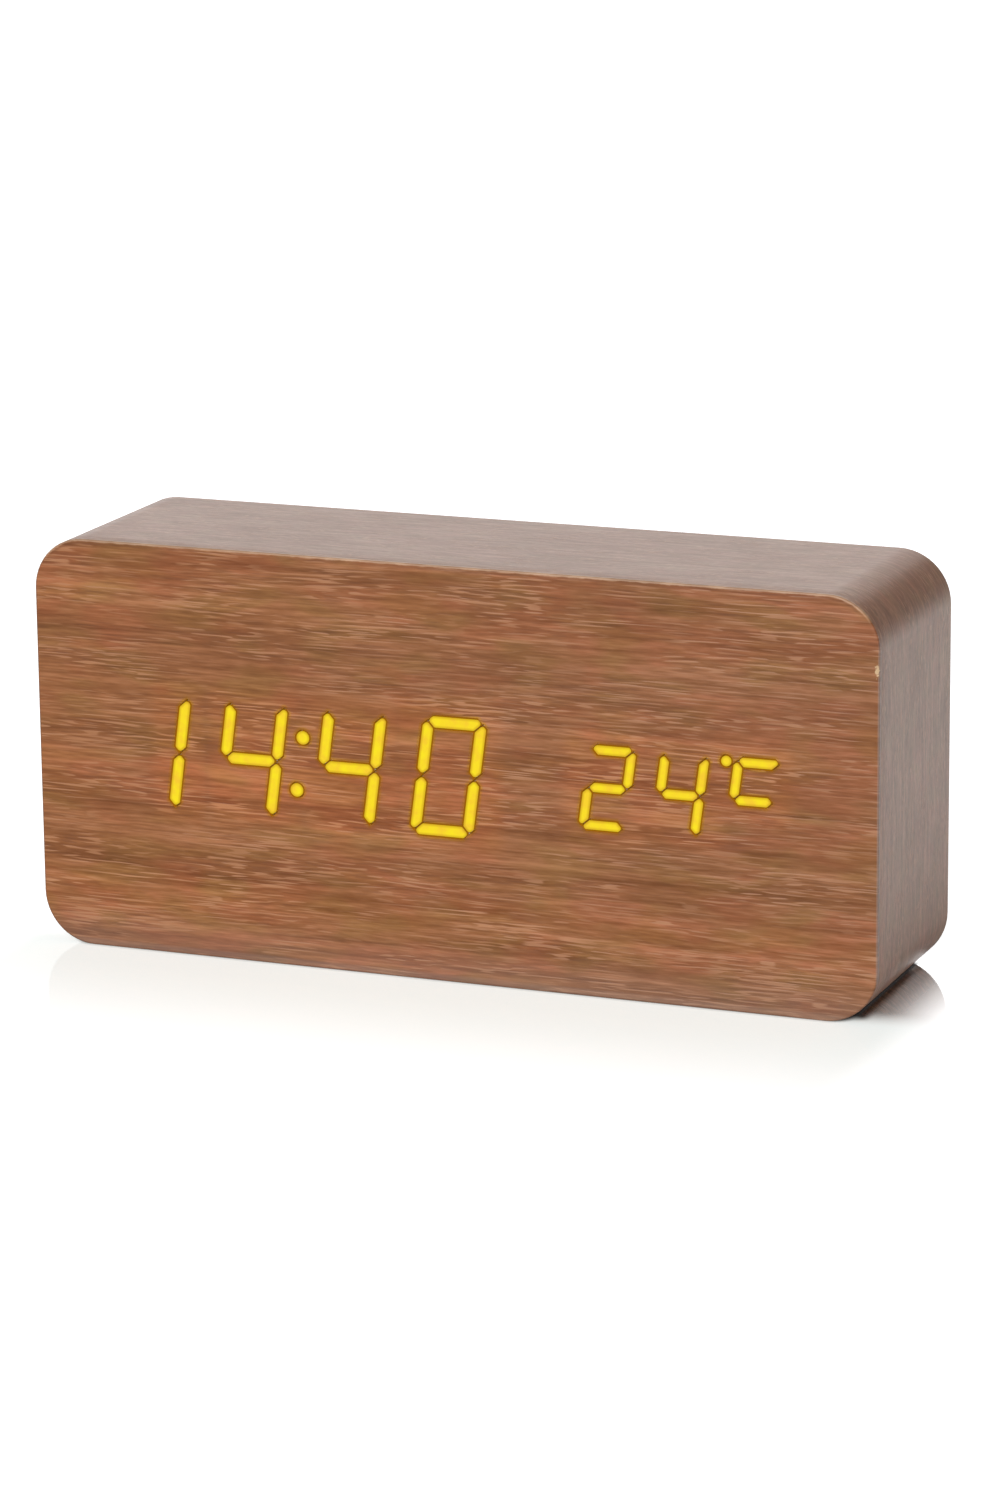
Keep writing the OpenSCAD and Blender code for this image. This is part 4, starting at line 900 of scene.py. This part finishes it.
# Copies that stand in for CAD nodes. WELD is in metres, as the meshes are

WELD = 1e-6
COPLANAR = math.radians(0.2)
SHARP = math.radians(40)
SMOOTH_UP_TO = math.radians(35)


def sharp_edges(shape, wanted):
    """The sharp edges whose two ends are both wanted. wanted takes a place in millimetres."""
    return [
        edge
        for edge in shape.edges
        if edge.is_manifold and edge.calc_face_angle() > SHARP and all(wanted(v.co / MM) for v in edge.verts)
    ]


def eased(name, rounded=None, ring=0.0):
    """A copy of a CAD node. rounded is which sharp edges are rounded, how wide and in how many steps.

    ring is the width of the halo along the walls of the front face.
    """
    shape = bmesh.new()
    shape.from_mesh(nodes[name].data)
    bmesh.ops.remove_doubles(shape, verts=shape.verts, dist=WELD)
    bmesh.ops.dissolve_limit(shape, angle_limit=COPLANAR, verts=shape.verts, edges=shape.edges)
    if rounded:
        wanted, width, steps = rounded
        bmesh.ops.bevel(
            shape, geom=sharp_edges(shape, wanted), offset=width * MM, segments=steps, profile=0.5,
            affect="EDGES", clamp_overlap=False, offset_type="OFFSET",
        )
    if ring:
        halo_front(shape, ring)
    for face in shape.faces:
        face.smooth = True
    mesh = bpy.data.meshes.new(name + "_eased")
    shape.to_mesh(mesh)
    shape.free()
    mesh.set_sharp_from_angle(angle=SMOOTH_UP_TO)
    piece = bpy.data.objects.new(name + "_eased", mesh)
    bpy.context.scene.collection.objects.link(piece)
    shading = piece.modifiers.new("flat faces", "WEIGHTED_NORMAL")
    shading.keep_sharp = True
    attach(piece, nodes[name]["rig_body"])
    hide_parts(name)
    return piece


def make_copies():
    """The copies, by the node that each stands for. Those of the lit shapes have no rounded edge."""
    rounded = {
        "case_body": (at_depth(REAR_Y), 0.45, 3),
        "front_panel": (on_outline(FRONT_Y), 0.3, 3),
        "rear_cover": (at_depth(COVER_OUT), 0.2, 2),
        "battery_door": (at_depth(COVER_OUT), 0.12, 2),
        "sound_switch_knob": (at_depth(KNOB_OUT), 0.07, 2),
        "usb_shell": (at_depth(SHELL_OUT), 0.06, 2),
    }
    rounded.update({name: (near_rim(name, BUTTON_TOP, 0.7), 0.3, 4) for name in BUTTONS})
    rings = {"front_panel": HALO_W, **dict.fromkeys(LIT_NODES, FRINGE_W)}
    copied = [*rounded, *LIT_NODES]
    made = {name: eased(name, rounded.get(name), rings.get(name, 0.0)) for name in copied}
    wrap_film(made["case_body"].data)
    return made


def dress():
    """Makes the copies and gives each piece the material of its slot."""
    materials = make_materials()
    copies = make_copies()
    slots = {name: nodes[name].data.materials[0].name.split(".")[0] for name in nodes}
    for name, source in nodes.items():
        target = copies.get(name, source)
        target.data.materials.clear()
        target.data.materials.append(materials[slots[name]])


# Floor. Its pairs are the start and the stop of a smooth change

FLOOR_REACH = 6.0
FLOOR_SIDES = 64
FLOOR_WHITE = (0.75, 0.75, 0.75, 1.0)
FLOOR_WHITER = (0.77, 0.77, 0.77, 1.0)
# Painted contact shadow under the right-hand corner
FLOOR_CONTACT_SHADOW = (0.012, 0.01, 0.009, 1.0)

# The light that the floor adds for the camera: it stops under the case and is lower near its front
LIFT_NEAR = (0.47, 0.505, 0.49, 1.0)
LIFT_FAR = (0.8, 0.8, 0.8, 1.0)
LIFT_DEPTH = REAR_Y - 4.0
LIFT_START = (3.0, 5.0)
LIFT_CHANGE = (4.0, 75.0)
LIFT_NARROW = 6.0

# The part of it that reflections show, to the right of the case and less far off
SHOWN_X = (-4.0, 30.0)
SHOWN_REACH = (200.0, 900.0)
SHOWN_FAR = 0.4

# The painted contact shadow under the right-hand corner, and the mirror beside it: in y, and past the base's
# flat part
CONTACT_Y = ((FRONT_Y + 1.5, FRONT_Y + 5.0), (REAR_Y - 3.0, REAR_Y))
CONTACT_FROM = (0.0, 1.0)
CONTACT_TO = (5.0, 7.0)
CONTACT_MATT_TO = (4.0, 4.7)
CONTACT_SHADOW_SHARE = 0.95
MIRROR_Y = ((FRONT_Y, FRONT_Y + 9.0), (REAR_Y - 1.0, REAR_Y + 3.0))
MIRROR_FROM = (-1.0, 1.0)
MIRROR_TO = (6.0, 20.0)
MIRROR_SHARE = 0.9


def floor_lift(graph, x, y):
    """The colour of the light that the floor adds, and where it does."""

    def beyond(value, limit):
        return graph.larger(graph.add(graph.absolute(value), -limit), 0.0)

    clear = graph.span(graph.length(beyond(x, FLAT_HALF), beyond(y, LIFT_DEPTH)), *LIFT_START)
    forward = graph.less(FRONT_Y, y)
    ahead = graph.larger(forward, graph.times(forward, -LIFT_NARROW))
    off_front = graph.length(graph.times(beyond(x, HALF_W), LIFT_NARROW), ahead)
    return graph.mix(graph.span(off_front, *LIFT_CHANGE), LIFT_NEAR, LIFT_FAR), clear


def floor_seen(graph, x, y):
    """Which rays the added light shows to: the camera's, and some of those that reflections send."""
    path = graph.node("LightPath").outputs
    shown = graph.span(graph.add(x, -HALF_W), *SHOWN_X)
    shown = graph.times(shown, graph.span(graph.length(x, y), *SHOWN_REACH, 1.0, SHOWN_FAR))
    shown = graph.times(path["Is Glossy Ray"], shown)
    return graph.larger(path["Is Camera Ray"], graph.larger(shown, path["Is Transmission Ray"]))


def floor_material():
    """White with a slight gloss. It has a painted contact shadow under the right-hand corner, and mirrors
    the case's right-hand side.
    """
    graph = Graph("studio_floor")
    x, y, _ = graph.place()
    past_flat = graph.add(x, -FLAT_HALF)
    under = graph.times(graph.between(y, *CONTACT_Y), graph.span(past_flat, *CONTACT_FROM))
    # Painted contact shadow: a dark strip along the base under the right-hand corner
    contact = graph.times(under, graph.fade(past_flat, *CONTACT_TO, CONTACT_SHADOW_SHARE))
    cloud = graph.blotches((x, y), (0.004, 0.004), 2.0)
    tint = graph.mix(contact, graph.mix(cloud, FLOOR_WHITE, FLOOR_WHITER), FLOOR_CONTACT_SHADOW)
    lift, clear = floor_lift(graph, x, y)
    clear = graph.times(clear, graph.less(1.0, contact))
    matt = graph.node("BsdfPrincipled", {
        "Base Color": tint, "Roughness": 0.06, "IOR": 1.1,
        "Emission Color": lift, "Emission Strength": graph.times(floor_seen(graph, x, y), clear),
    })
    gloss = graph.node("BsdfGlossy", {"Color": (1, 1, 1, 1), "Roughness": 0.05})
    beside = graph.times(graph.between(y, *MIRROR_Y), graph.span(past_flat, *MIRROR_FROM))
    share = graph.times(beside, graph.fade(past_flat, *MIRROR_TO, MIRROR_SHARE))
    dull = graph.times(under, graph.fade(past_flat, *CONTACT_MATT_TO, CONTACT_SHADOW_SHARE))
    share = graph.times(share, graph.less(1.0, dull))
    both = graph.node("MixShader", {0: share, 1: matt.outputs[0], 2: gloss.outputs[0]})
    graph.node("OutputMaterial", {"Surface": both.outputs[0]})
    return graph.material


def studio_floor():
    """A round floor that the clock stands on."""
    shape = bmesh.new()
    bmesh.ops.create_circle(shape, cap_ends=True, segments=FLOOR_SIDES, radius=FLOOR_REACH)
    mesh = bpy.data.meshes.new("floor")
    shape.to_mesh(mesh)
    shape.free()
    mesh.materials.append(floor_material())
    floor = bpy.data.objects.new("floor", mesh)
    bpy.context.scene.collection.objects.link(floor)


# Light

ROOM_LIGHT = 0.26
ROOM_IN_GLOSS = 0.41

# Lamps: place, width, height and brightness
FRONT_KEY = ((-0.15, -1.65, 0.86), 1.5, 0.9, 5.4)
BACK_CARD = ((-0.6, 1.86, 0.52), 1.5, 0.9, 1.02)
REAR_FILL = ((-0.4, 1.7, 0.14), 1.2, 0.26, 6.0)


def room():
    """Even room light. It looks white past the floor, and pale in reflections."""
    world = bpy.data.worlds.new("room")
    bpy.context.scene.world = world
    world.use_nodes = True
    tree = world.node_tree
    back = tree.nodes["Background"]
    back.inputs["Color"].default_value = (1, 1, 1, 1)
    path = tree.nodes.new("ShaderNodeLightPath")
    strength = None
    for ray, low, high in (("Is Glossy Ray", ROOM_LIGHT, ROOM_IN_GLOSS), ("Is Camera Ray", 0.0, 1.0)):
        step = tree.nodes.new("ShaderNodeMapRange")
        tree.links.new(path.outputs[ray], step.inputs["Value"])
        step.inputs["To Min"].default_value = low
        step.inputs["To Max"].default_value = high
        if strength:
            tree.links.new(strength, step.inputs["To Min"])
        strength = step.outputs[0]
    tree.links.new(strength, back.inputs["Strength"])


def softbox(name, at, width, height, radiance):
    """A rectangular lamp aimed at the clock's middle, with that brightness per unit of its face."""
    data = bpy.data.lights.new(name, "AREA")
    data.shape = "RECTANGLE"
    data.size, data.size_y = width, height
    data.energy = radiance * math.pi * width * height
    lamp = bpy.data.objects.new(name, data)
    lamp.location = at
    lamp.rotation_mode = "QUATERNION"
    lamp.rotation_quaternion = (Vector((0, 0, MID_Z * MM)) - Vector(at)).to_track_quat("-Z", "Y")
    lamp.visible_camera = False
    bpy.context.scene.collection.objects.link(lamp)
    return lamp


def lights():
    """A key in front and a card behind. A fill lights the rear, and isn't mirrored in the top."""
    softbox("front_key", *FRONT_KEY)
    softbox("back_card", *BACK_CARD)
    rear_fill = softbox("rear_fill", *REAR_FILL)
    rear_fill.visible_glossy = False


# Camera, as solved from the photograph's outlines

CAMERA_AT = (321.03, -791.73, 249.29)
YAW, PITCH, ROLL = (math.radians(a) for a in (21.960, 14.061, 0.591))
LENS = 125.14
SENSOR = 36.0


def camera():
    """The photograph's camera. Yaw turns it to the left, pitch tips it down and roll leans it."""
    forward = Vector((-math.sin(YAW) * math.cos(PITCH), math.cos(YAW) * math.cos(PITCH), -math.sin(PITCH)))
    level = Vector((math.cos(YAW), math.sin(YAW), 0))
    down = forward.cross(level)
    right = math.cos(ROLL) * level + math.sin(ROLL) * down
    below = -math.sin(ROLL) * level + math.cos(ROLL) * down
    data = bpy.data.cameras.new("camera")
    data.lens = LENS
    data.sensor_width = SENSOR
    made = bpy.data.objects.new("camera", data)
    turn = Matrix((right, -below, -forward)).transposed().to_4x4()
    made.matrix_world = Matrix.Translation(Vector(CAMERA_AT) * MM) @ turn
    bpy.context.scene.collection.objects.link(made)
    bpy.context.scene.camera = made


bpy.context.scene.view_settings.view_transform = "Standard"
dress()
studio_floor()
room()
lights()
camera()
